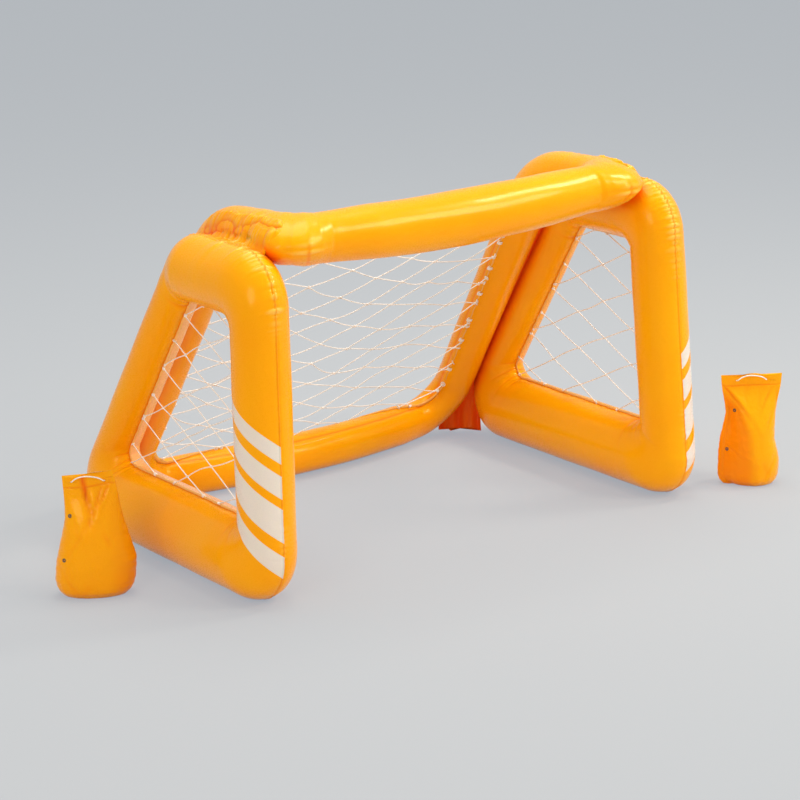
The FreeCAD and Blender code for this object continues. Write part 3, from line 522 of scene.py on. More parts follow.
def loop_axis():
    """The whole axis: points, tube radius, upright, and how far round the front bend."""
    mirror = np.array((-1, 1, 1))
    (middle, front, rear, foot, bar), bends = zip(*loop_bends.values())
    strut_up = unit(np.cross((1, 0, 0), foot - rear))
    crossbar = bend_points(front * mirror, middle, front, bends[0], 60)[30:]
    front_arc = bend_points(middle, front, rear, bends[1], 34)
    rear_arc = bend_points(front, rear, foot, bends[2], 40)
    foot_arc = bend_points(rear, foot, bar, bends[3], 40)
    rear_bar = bend_points(foot, bar, foot * mirror, bends[4], 60)[:31]
    parts = [(crossbar, (0.066, 0.063), (straight_up, straight_up), (0, 0)),
             (front_arc, (0.057, 0.057), (straight_up, straight_up), (0, 1)),
             (rear_arc, (0.054, 0.054), (straight_up, strut_up), (1, 1)),
             (foot_arc, (0.050, 0.050), (strut_up, strut_up), (1, 1)),
             (rear_bar, (bar_radius, bar_radius), (strut_up, strut_up), (1, 1))]
    rows = []
    for number, (line, sizes, ups, turns) in enumerate(parts):
        share = np.linspace(0, 1, len(line))[:, None]
        ease = share * share * (3 - 2 * share)
        rows.append(np.hstack([line, sizes[0] * (1 - share) + sizes[1] * share,
                               np.array(ups[0]) * (1 - ease) + np.array(ups[1]) * ease,
                               turns[0] * (1 - share) + turns[1] * share]))
        if number < 4:
            start = rows[-1][-1]
            after = parts[number + 1]
            end = np.hstack([after[0][0], after[1][0], after[2][0], after[3][0]])
            count = max(2, round(np.linalg.norm(end[:3] - start[:3]) / 0.0042))
            share = np.linspace(0, 1, count + 1)[1:-1, None]
            rows.append(start * (1 - share) + end * share)
    right = np.concatenate(rows)
    left = right[-2:0:-1].copy()
    left[:, 0] *= -1
    left[:, 4] *= -1
    return np.concatenate([right, left])


axis = loop_axis()
line, tube, ups, turned = axis[:, :3], axis[:, 3], axis[:, 4:7], axis[:, 7]
along = unit(np.roll(line, -1, 0) - np.roll(line, 1, 0))
upright = unit(ups - along * (along * ups).sum(1)[:, None])
outward = np.cross(along, upright)
angles = round_angles(72, 0.45)
cosine, sine = np.cos(angles)[:, None], np.sin(angles)[:, None]
normals = outward[:, None] * cosine + upright[:, None] * sine
points = line[:, None] + normals * tube[:, None, None]
arc, whole = arc_round(points)
from_outer, from_inner = np.minimum(arc, whole - arc), np.abs(arc - whole / 2)
inner_run, axis_run, outer_run = run_along(points[:, 36]), run_along(line), run_along(points[:, 0])
ear = np.sin(np.pi * np.clip(turned * 0.92 + 0.04, 0, 1)) ** 1.6 * (turned > 0) * (turned < 1)
front_end = np.exp(-((np.abs(line[:, 0]) - 0.46) / 0.075) ** 2) * (line[:, 1] < -0.19)
top_run = np.exp(-((line[:, 1] + 0.16) / 0.13) ** 2) * (line[:, 2] > 0.74) * (np.abs(line[:, 0]) > 0.43)
spread_way = unit(outward * np.array((1, 1, 0)) + np.array((0, 0, 1e-6)))
flat = np.clip(cosine[:, 0], 0, 1) ** 1.7
push = gathers(inner_run, from_inner, 0.019, 0.018, 41) * 0.0010
push += gathers(axis_run, from_inner, 0.036, 0.045, 42) * (0.0006 + 0.0030 * ear)[:, None]
push += gathers(outer_run, from_outer, 0.021, 0.050, 43) * (0.0032 * np.maximum(front_end, 0.55 * top_run))[:, None]
push += gathers(axis_run, from_outer, 0.044, 0.075, 44) * (0.0034 * np.maximum(front_end, 0.6 * top_run))[:, None]
push -= 0.0016 * np.exp(-(from_inner / 0.005) ** 2)
push += 0.0008 * np.sin(axis_run / 0.061)[:, None] * np.cos(3 * angles + axis_run[:, None] / 0.11)
# A ring weld crosses each front bend, drawn in and puckered on its lower front half.
weld_turn, bend_length, far_off = 0.30, 0.13, 9
in_bend = (turned > 0.02) & (turned < 0.98)
ring_off = np.abs(turned - weld_turn) * bend_length
ring = np.exp(-(ring_off / 0.0022) ** 2) * in_bend
lower_front = np.clip(0.55 - sine[:, 0], 0, 1) * np.clip(cosine[:, 0] + 0.4, 0, 1)
push -= 0.0030 * ring[:, None] * lower_front[None, :]
ring_away = np.broadcast_to((ring_off + far_off * ~in_bend)[:, None], arc.shape)
ring_ridge = gathers(arc[np.argmin(ring_away[:, 0])], ring_away.T, 0.012, 0.012, 47).T
lower_front = np.clip(lower_front * 1.6, 0, 1)[None, :]
push += 0.0032 * ring_ridge * lower_front
# Painted highlight: paler colour on the tops of the ridges beside each ring weld.
loop_crest_highlight = np.clip((ring_ridge - 0.22) / 0.4, 0, 1) * lower_front * np.clip((ring_away - 0.0015) / 0.002, 0, 1)
points = points + normals * push[..., None]
points += spread_way[:, None] * (0.046 * ear[:, None] * flat[None, :])[..., None]
points[..., 2] = np.maximum(points[..., 2], 0.0)
rear_seat = np.array((0.1634, 0.4387, bar_height))
around_valve = np.hypot(points[..., 0] - rear_seat[0], points[..., 2] - rear_seat[2])
points[..., 1] -= valve_pit_depth * ((around_valve < valve_pit_radius) & (normals[..., 1] > 0))
# The inner weld and the ring welds take the sheet's own deep tone.
loop_deep_tone_and_shade = 0.55 * np.exp(-(from_inner / 0.003) ** 2)
loop_deep_tone_and_shade = np.maximum(loop_deep_tone_and_shade, (ring ** 2)[:, None] * lower_front * 0.5)
# Painted light: a pale glow of light coming through the vinyl is marked on the outward side of the loop's left
# strut and rear bar end.
beside_opening = (line[:, 0] < -0.40) & (line[:, 1] > -0.03)
lit_side = np.clip((-normals[..., 0] - 0.15) / 0.4, 0, 1) * beside_opening[:, None]
lit_side *= np.clip((line[:, 2] - 0.02) / 0.05, 0, 1)[:, None] * np.clip((0.66 - line[:, 2]) / 0.05, 0, 1)[:, None]


def near_to(points, others, reach):
    """How close each point lies to another skin, from 0 to 1."""
    tree = KDTree(len(others))
    for number, spot in enumerate(others.tolist()):
        tree.insert(spot, number)
    tree.balance()
    gaps = np.array([tree.find(spot)[2] for spot in points.reshape(-1, 3).tolist()])
    return np.exp(-(gaps / reach) ** 2).reshape(points.shape[:2])


frames_all = np.concatenate([frame_points[name][::2, ::2].reshape(-1, 3) for name in frame_points])
# Painted shade: the loop goes deep red where it lies against a side frame.
loop_deep_tone_and_shade = np.maximum(loop_deep_tone_and_shade, near_to(points, frames_all, 0.019))
loop_vinyl, tree, group, shader = vinyl("plain_orange_vinyl", orange_tones, 1.0)
loop_piece = skin("main_loop_skin", points, loop_vinyl,
                  {"deep_tone_and_shade": loop_deep_tone_and_shade, "crest_highlight": loop_crest_highlight, "thin": 0.40 * lit_side})
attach(loop_piece, "goal")
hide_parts("main_loop")
for name in ("left", "right"):
    marks = frame_marks[name]
    # Painted shade: each side frame goes deep red where the loop lies against it.
    touching = near_to(frame_points[name], points[::2, ::2].reshape(-1, 3), 0.019)
    marks["deep_tone_and_shade"] = np.maximum(marks["deep_tone_and_shade"], touching)
    piece = skin(name + "_frame_skin", frame_points[name], frame_vinyl, marks)
    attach(piece, "goal")
    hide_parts(name + "_side_frame")


# Top webs: a gathered strip of vinyl lies in the valley between each top run and the side frame beside it,
# and holds the two tubes together. It is welded down along both edges, where it puckers most.
tubes_now = bpy.context.evaluated_depsgraph_get()
tube_skins = [BVHTree.FromObject(bpy.data.objects[name], tubes_now)
              for name in ("main_loop_skin", "left_frame_skin", "right_frame_skin")]


def skin_top(x, y, lowest):
    """Height of the tubes' upper skin over a place."""
    hits = [tree.ray_cast(Vector((x, y, 1.2)), Vector((0, 0, -1)))[0] for tree in tube_skins]
    return max([hit.z for hit in hits if hit is not None] + [lowest])


def smoothed(values, width, line=0):
    """Running mean along one direction of a grid."""
    values = np.moveaxis(values, line, 0)
    padded = np.concatenate([np.repeat(values[:1], width, 0), values, np.repeat(values[-1:], width, 0)])
    total = sum(padded[shift:shift + len(values)] for shift in range(2 * width + 1)) / (2 * width + 1)
    return np.moveaxis(total, 0, line)


for name, side in (("left", -1), ("right", 1)):
    rows, columns = 190, 37
    plan = np.array([(0.524, -0.020), (0.526, -0.10), (0.526, -0.18), (0.524, -0.24), (0.520, -0.285),
                     (0.512, -0.318), (0.500, -0.338)])
    plan_run = np.concatenate([[0], np.cumsum(np.linalg.norm(np.diff(plan, axis=0), axis=1))])
    run = np.linspace(0, plan_run[-1], rows)
    valley = np.stack([np.interp(run, plan_run, plan[:, 0]), np.interp(run, plan_run, plan[:, 1])], 1)
    valley = smoothed(valley, 7)
    ahead = unit(np.gradient(valley, axis=0))
    across_way = np.stack([-ahead[:, 1], ahead[:, 0]], 1)
    fade = np.clip(np.minimum(run, run[-1] - run) / 0.035, 0, 1)
    fade = fade * fade * (3 - 2 * fade)
    half_width = 0.010 + 0.026 * fade + 0.003 * np.sin(run / 0.011 + side)
    share = np.linspace(-1, 1, columns)
    away = half_width[:, None] * share[None, :]
    grid = np.zeros((rows, columns, 3))
    grid[..., :2] = valley[:, None] + across_way[:, None] * away[..., None]
    grid[..., 0] *= side
    bare = np.array([[skin_top(spot[0], spot[1], 0.770) for spot in row] for row in grid.tolist()])
    filled = np.maximum(bare, smoothed(smoothed(bare, 5, 1), 4, 1))
    hold = (1 - share ** 6)[None, :] * np.clip(fade * 3, 0, 1)[:, None]
    ruffle = gathers(run, np.abs(away - 0.55 * half_width[:, None]), 0.0125, 0.010, 61 + side) * 0.0042
    ruffle += gathers(run, np.abs(away + 0.60 * half_width[:, None]), 0.0115, 0.009, 71 + side) * 0.0038
    ruffle += gathers(run, np.abs(away), 0.026, 0.020, 75 + side) * 0.0034
    fold_line = 0.0035 * np.sin(run / 0.019 + side) - 0.003
    deep = np.exp(-((away - fold_line[:, None]) / 0.0042) ** 2)
    lift = (filled - bare + 0.0014 + ruffle - 0.0052 * deep) * hold - 0.0018 * (1 - hold)
    grid[..., 2] = smoothed(bare, 1, 0) + lift
    # Painted shade: deep red in the fold line and in the valleys between the ruffles.
    crease_shade = np.clip(0.85 * deep + 0.55 * np.clip(1 - ruffle / 0.0022, 0, 1) * hold * np.abs(share) ** 0.3, 0, 1)
    web = np.concatenate([grid, (grid - np.array((0, 0, 0.0024)))[:, ::-1]], 1)
    # Painted highlight: paler colour on the tops of the tallest ruffles.
    ridge_highlight = np.clip((ruffle - 0.0030) / 0.0030, 0, 1) * hold * (1 - deep)
    piece = skin(name + "_top_web", web, loop_vinyl, {"deep_tone_and_shade": np.concatenate([crease_shade, crease_shade[:, ::-1]], 1),
                 "crest_highlight": np.concatenate([ridge_highlight, ridge_highlight[:, ::-1]], 1)}, wraps=False)
    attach(piece, "goal")
    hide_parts(name + "_top_weld")


# Rear webs: a thin red-orange web closes the crease between each strut of the loop and the side frame's strut,
# and opens into a folded gusset at the floor. It is welded to both tubes and its lower edge is ragged.
web_tones = ((1.0, 0.28, 0.016), (1.0, 0.38, 0.024), (0.98, 0.11, 0.010))
web_vinyl, tree, group, shader = vinyl("thin_web_vinyl", web_tones, 1.6, 24.0, 0.002)
shine_through = add(tree, "ShaderNodeBsdfTranslucent", {"Color": (1.0, 0.16, 0.02, 1)})
both = add(tree, "ShaderNodeMixShader", {0: 0.45, 1: shader.outputs[0], 2: shine_through.outputs[0]})
tree.links.new(both.outputs[0], tree.nodes["Material Output"].inputs["Surface"])
shader.inputs["Subsurface Weight"].default_value = 0.0
web_top, gusset_height = 0.745, 0.17
gusset_corners = ((0.472, 0.424), (0.560, 0.348))
frame_strut_foot, frame_strut_lean = 0.445, 0.6894
for name, side in (("left", -1), ("right", 1)):
    rows, columns = 150, 56
    across = np.linspace(0, 1, columns)[None, :]
    rise = np.linspace(0, 1, rows)[:, None] ** 1.5
    ragged = 0.004 + 0.007 * np.abs(np.sin(across * 8 + side)) + 0.002 * np.sin(across * 41)
    z = ragged + (web_top - ragged) * rise
    low = np.clip(z / gusset_height, 0, 1)
    inner = strut_foot[:2] - strut_lean[:2] * (z[..., None] - bar_height)
    outer = np.stack([sheet_foot - sheet_lean * z, frame_strut_foot - frame_strut_lean * z], -1)
    inner = np.array(gusset_corners[0]) * (1 - low[..., None]) + inner * low[..., None]
    outer = np.array(gusset_corners[1]) * (1 - low[..., None]) + outer * low[..., None]
    calm = 1 - np.clip(z / 0.20, 0, 1)
    wave = (np.sin(across * 13 + 2.0 * side) * 0.0050 + np.sin(across * 29 + 9 * z) * 0.0024) * (0.25 + 0.75 * calm)
    bow = 0.016 * (1 - (2 * across - 1) ** 2) * calm
    way = unit(outer - inner)
    face = np.stack([way[..., 1], -way[..., 0]], -1)
    plan = inner + (outer - inner) * across[..., None] + face * (wave - bow)[..., None]
    grid = np.concatenate([plan * np.array((side, 1)), z[..., None]], -1)
    back = grid - np.concatenate([face * np.array((side, 1)), 0 * z[..., None]], -1) * 0.0016
    # Painted shade: the web's deep red follows its ripples, over a deeper tone on the whole web.
    crease_shade = np.clip(0.35 + 70 * wave, 0.0, 1)
    piece = skin(name + "_rear_web", np.concatenate([grid, back[:, ::-1]], 1), web_vinyl,
                 {"deep_tone_and_shade": np.concatenate([crease_shade, crease_shade[:, ::-1]], 1)}, wraps=False)
    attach(piece, "goal")
    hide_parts(name + "_rear_gusset")


# Net strips: a flat strip of the two welded sheets stands out of the weld round each side opening, and
# round the inside of the main loop. The nets are caught in it.
strip_tones = ((0.93, 0.50, 0.14), (0.95, 0.58, 0.22), (0.85, 0.20, 0.02))
strip_vinyl, tree, group, shader = vinyl("pale_weld_strip", strip_tones, 0.6, 30.0, 0.001)
for name, side in (("left", -1), ("right", 1)):
    corners = inset(frame_corners, tube_depths)
    lines = []
    for margin, lift in ((-0.0035, 0.0006), (0.0062, 0.0005), (0.0062, -0.0005), (-0.0035, -0.0006)):
        arcs = rounded(inset(corners, [margin] * 4), [opening_radius - margin] * 4, 20)
        outline = []
        for number in range(4):
            outline.append(arcs[number])
            end = arcs[(number + 1) % 4][0]
            share = np.linspace(0, 1, 70)[1:-1, None]
            outline.append(arcs[number][-1] * (1 - share) + end * share)
        outline = np.concatenate(outline)
        spots = frame_line(side, outline)
        run = run_along(spots)
        spots[:, 0] += lift + (0.0010 if margin > 0 else 0.0) * np.sin(run / 0.0058) * np.sin(run / 0.031)
        lines.append(spots)
    piece = skin(name + "_opening_strip", np.stack(lines, 1), strip_vinyl, {"deep_tone_and_shade": 0.0})
    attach(piece, "goal")
    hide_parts(name + "_opening_seam")

ridge_place = (-0.0458, 0.787)
ridge_sag = 0.034
net_foot, net_ridge_half, net_foot_half = 0.112, 0.412, 0.4515


def bar_axis(across):
    """Rear bar's axis, which lies ahead of its corners in the middle."""
    away, blunt = np.abs(across) / strut_foot[0], 0.2
    middle, bow = loop_bends["bar"][0][1], strut_foot[1] - loop_bends["bar"][0][1]
    return middle + bow * np.sqrt(away ** 2 + blunt ** 2) - bow * blunt * (1 - away)


def back_surface(across, rise):
    """A point of the back net from its place across and its share of the way up."""
    edge_y = np.minimum(strut_foot[1] - strut_lean[1] * (net_foot - bar_height) - 0.018, bar_axis(across) + 0.036)
    behind_axis = edge_y - bar_axis(across)
    edge_z = bar_height + np.sqrt(np.maximum(0.0002, bar_radius ** 2 - behind_axis ** 2)) + 0.0045
    at_strut = np.clip((np.abs(across) - 0.36) / 0.09, 0, 1)
    edge_z = edge_z * (1 - at_strut) + net_foot * at_strut
    ridge_z = ridge_place[1] - ridge_sag * np.clip(1 - (across / 0.418) ** 2, 0, 1)
    y = edge_y + (ridge_place[0] - edge_y) * rise
    z = edge_z + (ridge_z - edge_z) * rise
    belly = np.clip(1 - (across / 0.44) ** 2, 0, 1) * np.sin(np.pi * np.clip(rise, 0, 1)) ** 0.9
    return np.stack([across, y + 0.030 * belly, z - 0.030 * belly], -1)


def strip_along(name, edge, outer_edge, node, seed):
    """Thin wavy strip between two lines of matching points."""
    middle_edge = (edge + outer_edge) / 2
    face = unit(np.cross(np.gradient(middle_edge, axis=0), edge - outer_edge))
    run = np.concatenate([[0], np.cumsum(np.linalg.norm(np.diff(edge, axis=0), axis=1))])
    ripple = (0.0010 * np.sin(run / 0.0061) * np.sin(run / 0.027 + seed))[:, None]
    rows = [outer_edge + face * 0.0006, edge + face * (0.0005 + ripple),
            edge - face * (0.0005 - ripple), outer_edge - face * 0.0006]
    piece = skin(name, np.stack(rows, 1), strip_vinyl, {"deep_tone_and_shade": 0.0}, wraps=False)
    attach(piece, "goal")
    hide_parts(node)


def back_border(grow):
    """The back net's edge down one strut, along the bar and up the other strut."""
    half = []
    for share in np.linspace(0.975, 0.09, 90):
        half.append((net_foot_half + (net_ridge_half - net_foot_half) * share + grow, share))
    for angle in np.linspace(0, math.pi / 2, 24)[1:]:
        half.append((net_foot_half - 0.070 + (0.070 + grow) * math.cos(angle),
                     0.09 - (0.09 + grow / 0.82) * math.sin(angle)))
    start = half[-1][0]
    bottom = [(across, -grow / 0.82) for across in np.linspace(start, -start, 120)[1:-1]]
    spots = np.array(half + bottom + [(-across, share) for across, share in half[::-1]])
    return back_surface(spots[:, 0], spots[:, 1])


strip_along("back_net_strip", back_border(0.0), back_border(0.014), "back_net_hem", 1.0)


def roof_border(grow):
    """The roof net's edge from the ridge along one top run, the crossbar and the other top run."""
    half = [(net_ridge_half + grow, y) for y in np.linspace(-0.052, -0.225, 50)]
    for angle in np.linspace(0, math.pi / 2, 16)[1:]:
        half.append((net_ridge_half - 0.022 + (0.022 + grow) * math.cos(angle),
                     -0.225 - (0.022 + grow) * math.sin(angle)))
    start = half[-1][0]
    front = [(across, half[-1][1]) for across in np.linspace(start, -start, 120)[1:-1]]
    spots = np.array(half + front + [(-across, y) for across, y in half[::-1]])
    return np.stack([spots[:, 0], spots[:, 1], np.full(len(spots), 0.787)], 1)


strip_along("roof_net_strip", roof_border(0.0), roof_border(0.013), "roof_net_hem", 2.0)


# Nets: knotted diamond mesh of white polyester string, caught in the strips with small knots.
# The side nets are drawn tight; the back net hangs loosely from the ridge cord.
string_white = mottled("white_string", ((0.84, 0.85, 0.86), (0.97, 0.97, 0.96)), (14.0, 3.0), (0.5, 0.72), 0.45,
                       0.0004, plait=(260.0, 3.0))
string_white.node_tree.nodes["Principled BSDF"].inputs["Sheen Weight"].default_value = 0.2

netting = bpy.data.node_groups.new("netting", "GeometryNodeTree")
sockets = {}
for label, kind, value in (("Geometry", "NodeSocketGeometry", None), ("String Radius", "NodeSocketFloat", 0.0012),
                           ("Knot Radius", "NodeSocketFloat", 0.0026), ("Tie Radius", "NodeSocketFloat", 0.006),
                           ("Material", "NodeSocketMaterial", None)):
    made = netting.interface.new_socket(label, in_out="INPUT", socket_type=kind)
    if value is not None:
        made.default_value = value
    sockets[label] = made.identifier
netting.interface.new_socket("Geometry", in_out="OUTPUT", socket_type="NodeSocketGeometry")
given = netting.nodes.new("NodeGroupInput")
result = netting.nodes.new("NodeGroupOutput")
strands = add(netting, "GeometryNodeMeshToCurve", {"Mesh": given.outputs["Geometry"]})
profile = add(netting, "GeometryNodeCurvePrimitiveCircle",
              {"Resolution": 7, "Radius": given.outputs["String Radius"]})
strings = add(netting, "GeometryNodeCurveToMesh", {"Curve": strands.outputs[0], "Profile Curve": profile.outputs[0],
              "Fill Caps": True})
parts = [strings.outputs[0]]
kind_mark = add(netting, "GeometryNodeInputNamedAttribute", {"Name": "kind"}, data_type="FLOAT")
lump = add(netting, "GeometryNodeMeshIcoSphere", {"Radius": given.outputs["Knot Radius"], "Subdivisions": 2})
round_tie = add(netting, "GeometryNodeCurvePrimitiveCircle",
                {"Resolution": 14, "Radius": given.outputs["Tie Radius"]})
tie_string = add(netting, "GeometryNodeCurveToMesh", {"Curve": round_tie.outputs[0],
                 "Profile Curve": profile.outputs[0]})
for wanted, shape, stretch_low, stretch_high, seed in (
        (1.0, lump.outputs[0], (0.9, 0.9, 0.8), (1.7, 1.2, 1.1), 3),
        (2.0, tie_string.outputs[0], (0.7, 0.9, 0.9), (1.0, 1.2, 1.0), 4),
        (2.0, lump.outputs[0], (0.8, 0.8, 0.8), (1.3, 1.2, 1.2), 5)):
    chosen = add(netting, "FunctionNodeCompare", {0: kind_mark.outputs[0], 1: wanted, "Epsilon": 0.1},
                 data_type="FLOAT", operation="EQUAL")
    turn = add(netting, "FunctionNodeRandomValue", {0: (0, 0, 0), 1: (6.28, 6.28, 6.28), "Seed": seed},
               data_type="FLOAT_VECTOR")
    size = add(netting, "FunctionNodeRandomValue", {0: stretch_low, 1: stretch_high, "Seed": seed + 20},
               data_type="FLOAT_VECTOR")
    placed = add(netting, "GeometryNodeInstanceOnPoints", {
        "Points": given.outputs["Geometry"], "Selection": chosen.outputs[0], "Instance": shape,
        "Rotation": turn.outputs[0], "Scale": size.outputs[0]})
    parts.append(placed.outputs[0])
joined = netting.nodes.new("GeometryNodeJoinGeometry")
for part in parts:
    netting.links.new(part, joined.inputs[0])
whole_net = add(netting, "GeometryNodeRealizeInstances", {0: joined.outputs[0]})
smooth = add(netting, "GeometryNodeSetShadeSmooth", {0: whole_net.outputs[0]})
painted = add(netting, "GeometryNodeSetMaterial", {"Geometry": smooth.outputs[0],
              "Material": given.outputs["Material"]})
netting.links.new(painted.outputs[0], result.inputs[0])


def strung(name, spots, edges, kinds, radius, knot, tie, nodes):
    """A net's lines turned into string, with its knots and ties, as one plain mesh."""
    mesh = bpy.data.meshes.new(name)
    mesh.from_pydata(np.asarray(spots).tolist(), edges, [])
    mesh.attributes.new("kind", "FLOAT", "POINT").data.foreach_set("value", np.array(kinds, np.float32))
    piece = bpy.data.objects.new(name, mesh)
    scene.collection.objects.link(piece)
    weave = piece.modifiers.new("netting", "NODES")
    weave.node_group = netting
    for label, value in (("String Radius", radius), ("Knot Radius", knot), ("Tie Radius", tie),
                         ("Material", string_white)):
        weave[sockets[label]] = value
    ready = bpy.context.evaluated_depsgraph_get()
    solid = bpy.data.meshes.new_from_object(piece.evaluated_get(ready))
    piece.modifiers.clear()
    solid.materials.clear()
    solid.materials.append(string_white)
    solid.polygons.foreach_set("material_index", np.zeros(len(solid.polygons), np.int32))
    piece.data = solid
    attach(piece, "goal")
    if nodes:
        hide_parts(*nodes)
    return piece


def inside_part(start, end, outline):
    """The part of a straight string that lies inside a convex outline."""
    low, high = 0.0, 1.0
    way = end - start
    for corner, after in zip(outline, np.roll(outline, -1, 0)):
        side_way = after - corner
        out = np.array((side_way[1], -side_way[0]))
        speed, gap = out @ way, out @ (corner - start)
        if abs(speed) < 1e-12:
            if gap < 0:
                return None
        elif speed > 0:
            high = min(high, gap / speed)
        else:
            low = max(low, gap / speed)
    return (low, high) if high - low > 0.02 else None


def mesh_lines(outline, start, column, row, place, jitter, slack, seed):
    """Points, edges and marks of a knotted diamond net inside an outline."""
    chance = np.random.default_rng(seed)
    low, high = outline.min(0), outline.max(0)
    across = range(int((low[0] - start[0]) / column) - 2, int((high[0] - start[0]) / column) + 3)
    spots, edges, kinds, known, shift = [], [], [], {}, {}

    def knot_at(column_number, half_row):
        key = (column_number, half_row)
        if key not in shift:
            shift[key] = chance.normal(0, jitter, 2)
        return np.array((start[0] + column_number * column, start[1] + half_row * row / 2)) + shift[key]

    def point(flat_spot, kind, key=None):
        if key is not None and key in known:
            return known[key]
        spots.append(place(flat_spot))
        kinds.append(kind)
        if key is not None:
            known[key] = len(spots) - 1
        return len(spots) - 1

    rows = range(int((low[1] - start[1]) / row * 2) - 3, int((high[1] - start[1]) / row * 2) + 4)
    for number in across:
        for half_row in rows:
            if (half_row + number) % 2 == 0:
                continue
            for step in (-1, 1):
                one, other = knot_at(number, half_row), knot_at(number + 1, half_row + step)
                kept = inside_part(one, other, outline)
                if kept is None:
                    continue
                low_share, high_share = kept
                count = max(2, round(8 * (high_share - low_share)))
                droop = chance.normal(0, slack)
                last = None
                for share in np.linspace(low_share, high_share, count + 1):
                    flat_spot = one + (other - one) * share
                    flat_spot = flat_spot + np.array((0, droop)) * math.sin(math.pi * share)
                    if share < 1e-9:
                        this = point(flat_spot, 1, (number, half_row))
                    elif share > 1 - 1e-9:
                        this = point(flat_spot, 1, (number + 1, half_row + step))
                    elif share in (low_share, high_share):
                        this = point(flat_spot, 2)
                    else:
                        this = point(flat_spot, 0)
                    if last is not None and this != last:
                        edges.append((last, this))
                    last = this
    return spots, edges, kinds


for name, side in (("left", -1), ("right", 1)):
    corners = inset(inset(frame_corners, tube_depths), [0.0052] * 4)
    outline = np.concatenate(rounded(corners, [0.025] * 4, 12))
    start = (-0.303 - 0.040, 0.176 + 0.035)

    def on_frame(flat_spot, side=side):
        return frame_line(side, np.array([flat_spot]))[0]

    spots, edges, kinds = mesh_lines(outline, start, 0.104, 0.098, on_frame, 0.0022, 0.0022, 31 + side)
    strung(name + "_side_netting", spots, edges, kinds, 0.00140, 0.0030, 0.0036, [name + "_side_net"])

back_rise = 0.675 * 1.1947


def on_back(flat_spot):
    return back_surface(np.array(flat_spot[0]), np.array(flat_spot[1] / back_rise))


back_outline = [(net_foot_half - 0.075, 0.0)]
back_outline += [(net_foot_half - 0.075 + 0.075 * math.sin(angle), 0.075 - 0.075 * math.cos(angle))
                 for angle in np.linspace(0, math.pi / 2, 12)[1:]]
back_outline += [(net_ridge_half, back_rise), (-net_ridge_half, back_rise)]
back_outline += [(-across, up) for across, up in back_outline[-3:0:-1]]
back_outline = np.array(back_outline + [(-net_foot_half + 0.075, 0.0)])
spots, edges, kinds = mesh_lines(back_outline, (-0.440, -0.038), 0.096, 0.080, on_back, 0.0050, 0.0045, 51)
strung("back_netting", spots, edges, kinds, 0.00140, 0.0030, 0.0050, ["back_net"])

roof_outline = np.array([(-net_ridge_half, -0.225), (-net_ridge_half + 0.022, -0.247),
                         (net_ridge_half - 0.022, -0.247),
                         (net_ridge_half, -0.225), (net_ridge_half, -0.048), (-net_ridge_half, -0.048)])


def on_roof(flat_spot):
    back = np.clip((flat_spot[1] + 0.247) / 0.2, 0, 1)
    hang = (1 - (flat_spot[0] / 0.43) ** 2) * (ridge_sag * back + 0.012 * math.sin(math.pi * back))
    return np.array((flat_spot[0], flat_spot[1], 0.787 - max(0.0, hang)))


spots, edges, kinds = mesh_lines(roof_outline, (-0.440, -0.247), 0.096, 0.080, on_roof, 0.0035, 0.003, 52)
strung("roof_netting", spots, edges, kinds, 0.00140, 0.0030, 0.0040, ["roof_net"])
across = np.linspace(-0.418, 0.418, 120)
ridge = np.stack([across, np.full(120, ridge_place[0]) + 0.001 * np.sin(across * 60),
                  ridge_place[1] - ridge_sag * (1 - (across / 0.418) ** 2)], 1)
strung("ridge_rope", ridge, [(number, number + 1) for number in range(119)], np.zeros(120), 0.0024, 0.003, 0.005,
       ["ridge_cord"])


# Ties: short lengths of white string are wound round the back strip and knotted, a hand's width apart.
turns_round = np.linspace(0, 6 * math.pi, 60)
for name, side in (("left", -1), ("right", 1)):
    spots, edges, kinds = [], [], []
    chance = np.random.default_rng(91 + side)
    for share in (0.86, 0.735, 0.615, 0.50, 0.385, 0.27, 0.15):
        across = side * (net_foot_half + (net_ridge_half - net_foot_half) * share + 0.003)
        centre = back_surface(np.array(across), np.array(share + chance.uniform(-0.012, 0.012)))
        upward_way = unit(back_surface(np.array(across), np.array(share + 0.02)) - centre)
        outward_way = np.array((side, 0, 0)) - upward_way * upward_way[0] * side
        depth_way = np.cross(upward_way, outward_way)
        start = len(spots)
        for number, angle in enumerate(turns_round):
            wide = 0.0085 + 0.0012 * math.sin(3 * angle)
            spots.append(centre + outward_way * wide * math.cos(angle) + depth_way * 0.0040 * math.sin(angle)
                         + upward_way * (0.0085 * (number / 59 - 0.5)))
            kinds.append(0)
            if number:
                edges.append((start + number - 1, start + number))
        kinds[-1] = 1
    strung(name + "_net_ties", spots, edges, kinds, 0.0015, 0.0042, 0.004, [])


# Valve seats: each valve sits in a round cup of vinyl under a flat collar that is welded to the chamber's skin.
def seat_height(name, first, second):
    """How far out the chamber's skin lies at a place beside the valve."""
    if name == "rear":
        height = np.clip(second + bar_height, 0.001, 2 * bar_height - 0.001)
        return np.sqrt(np.maximum(0, bar_radius ** 2 - (height - bar_height) ** 2)) - bar_radius
    ratio = np.clip(second / bottom_radius, -0.999, 0.999)
    middle = -sheet_lean * second * (1 if name == "right" else -1)
    return bottom_radius * np.sqrt(1 - ratio ** 2) - bottom_radius + middle


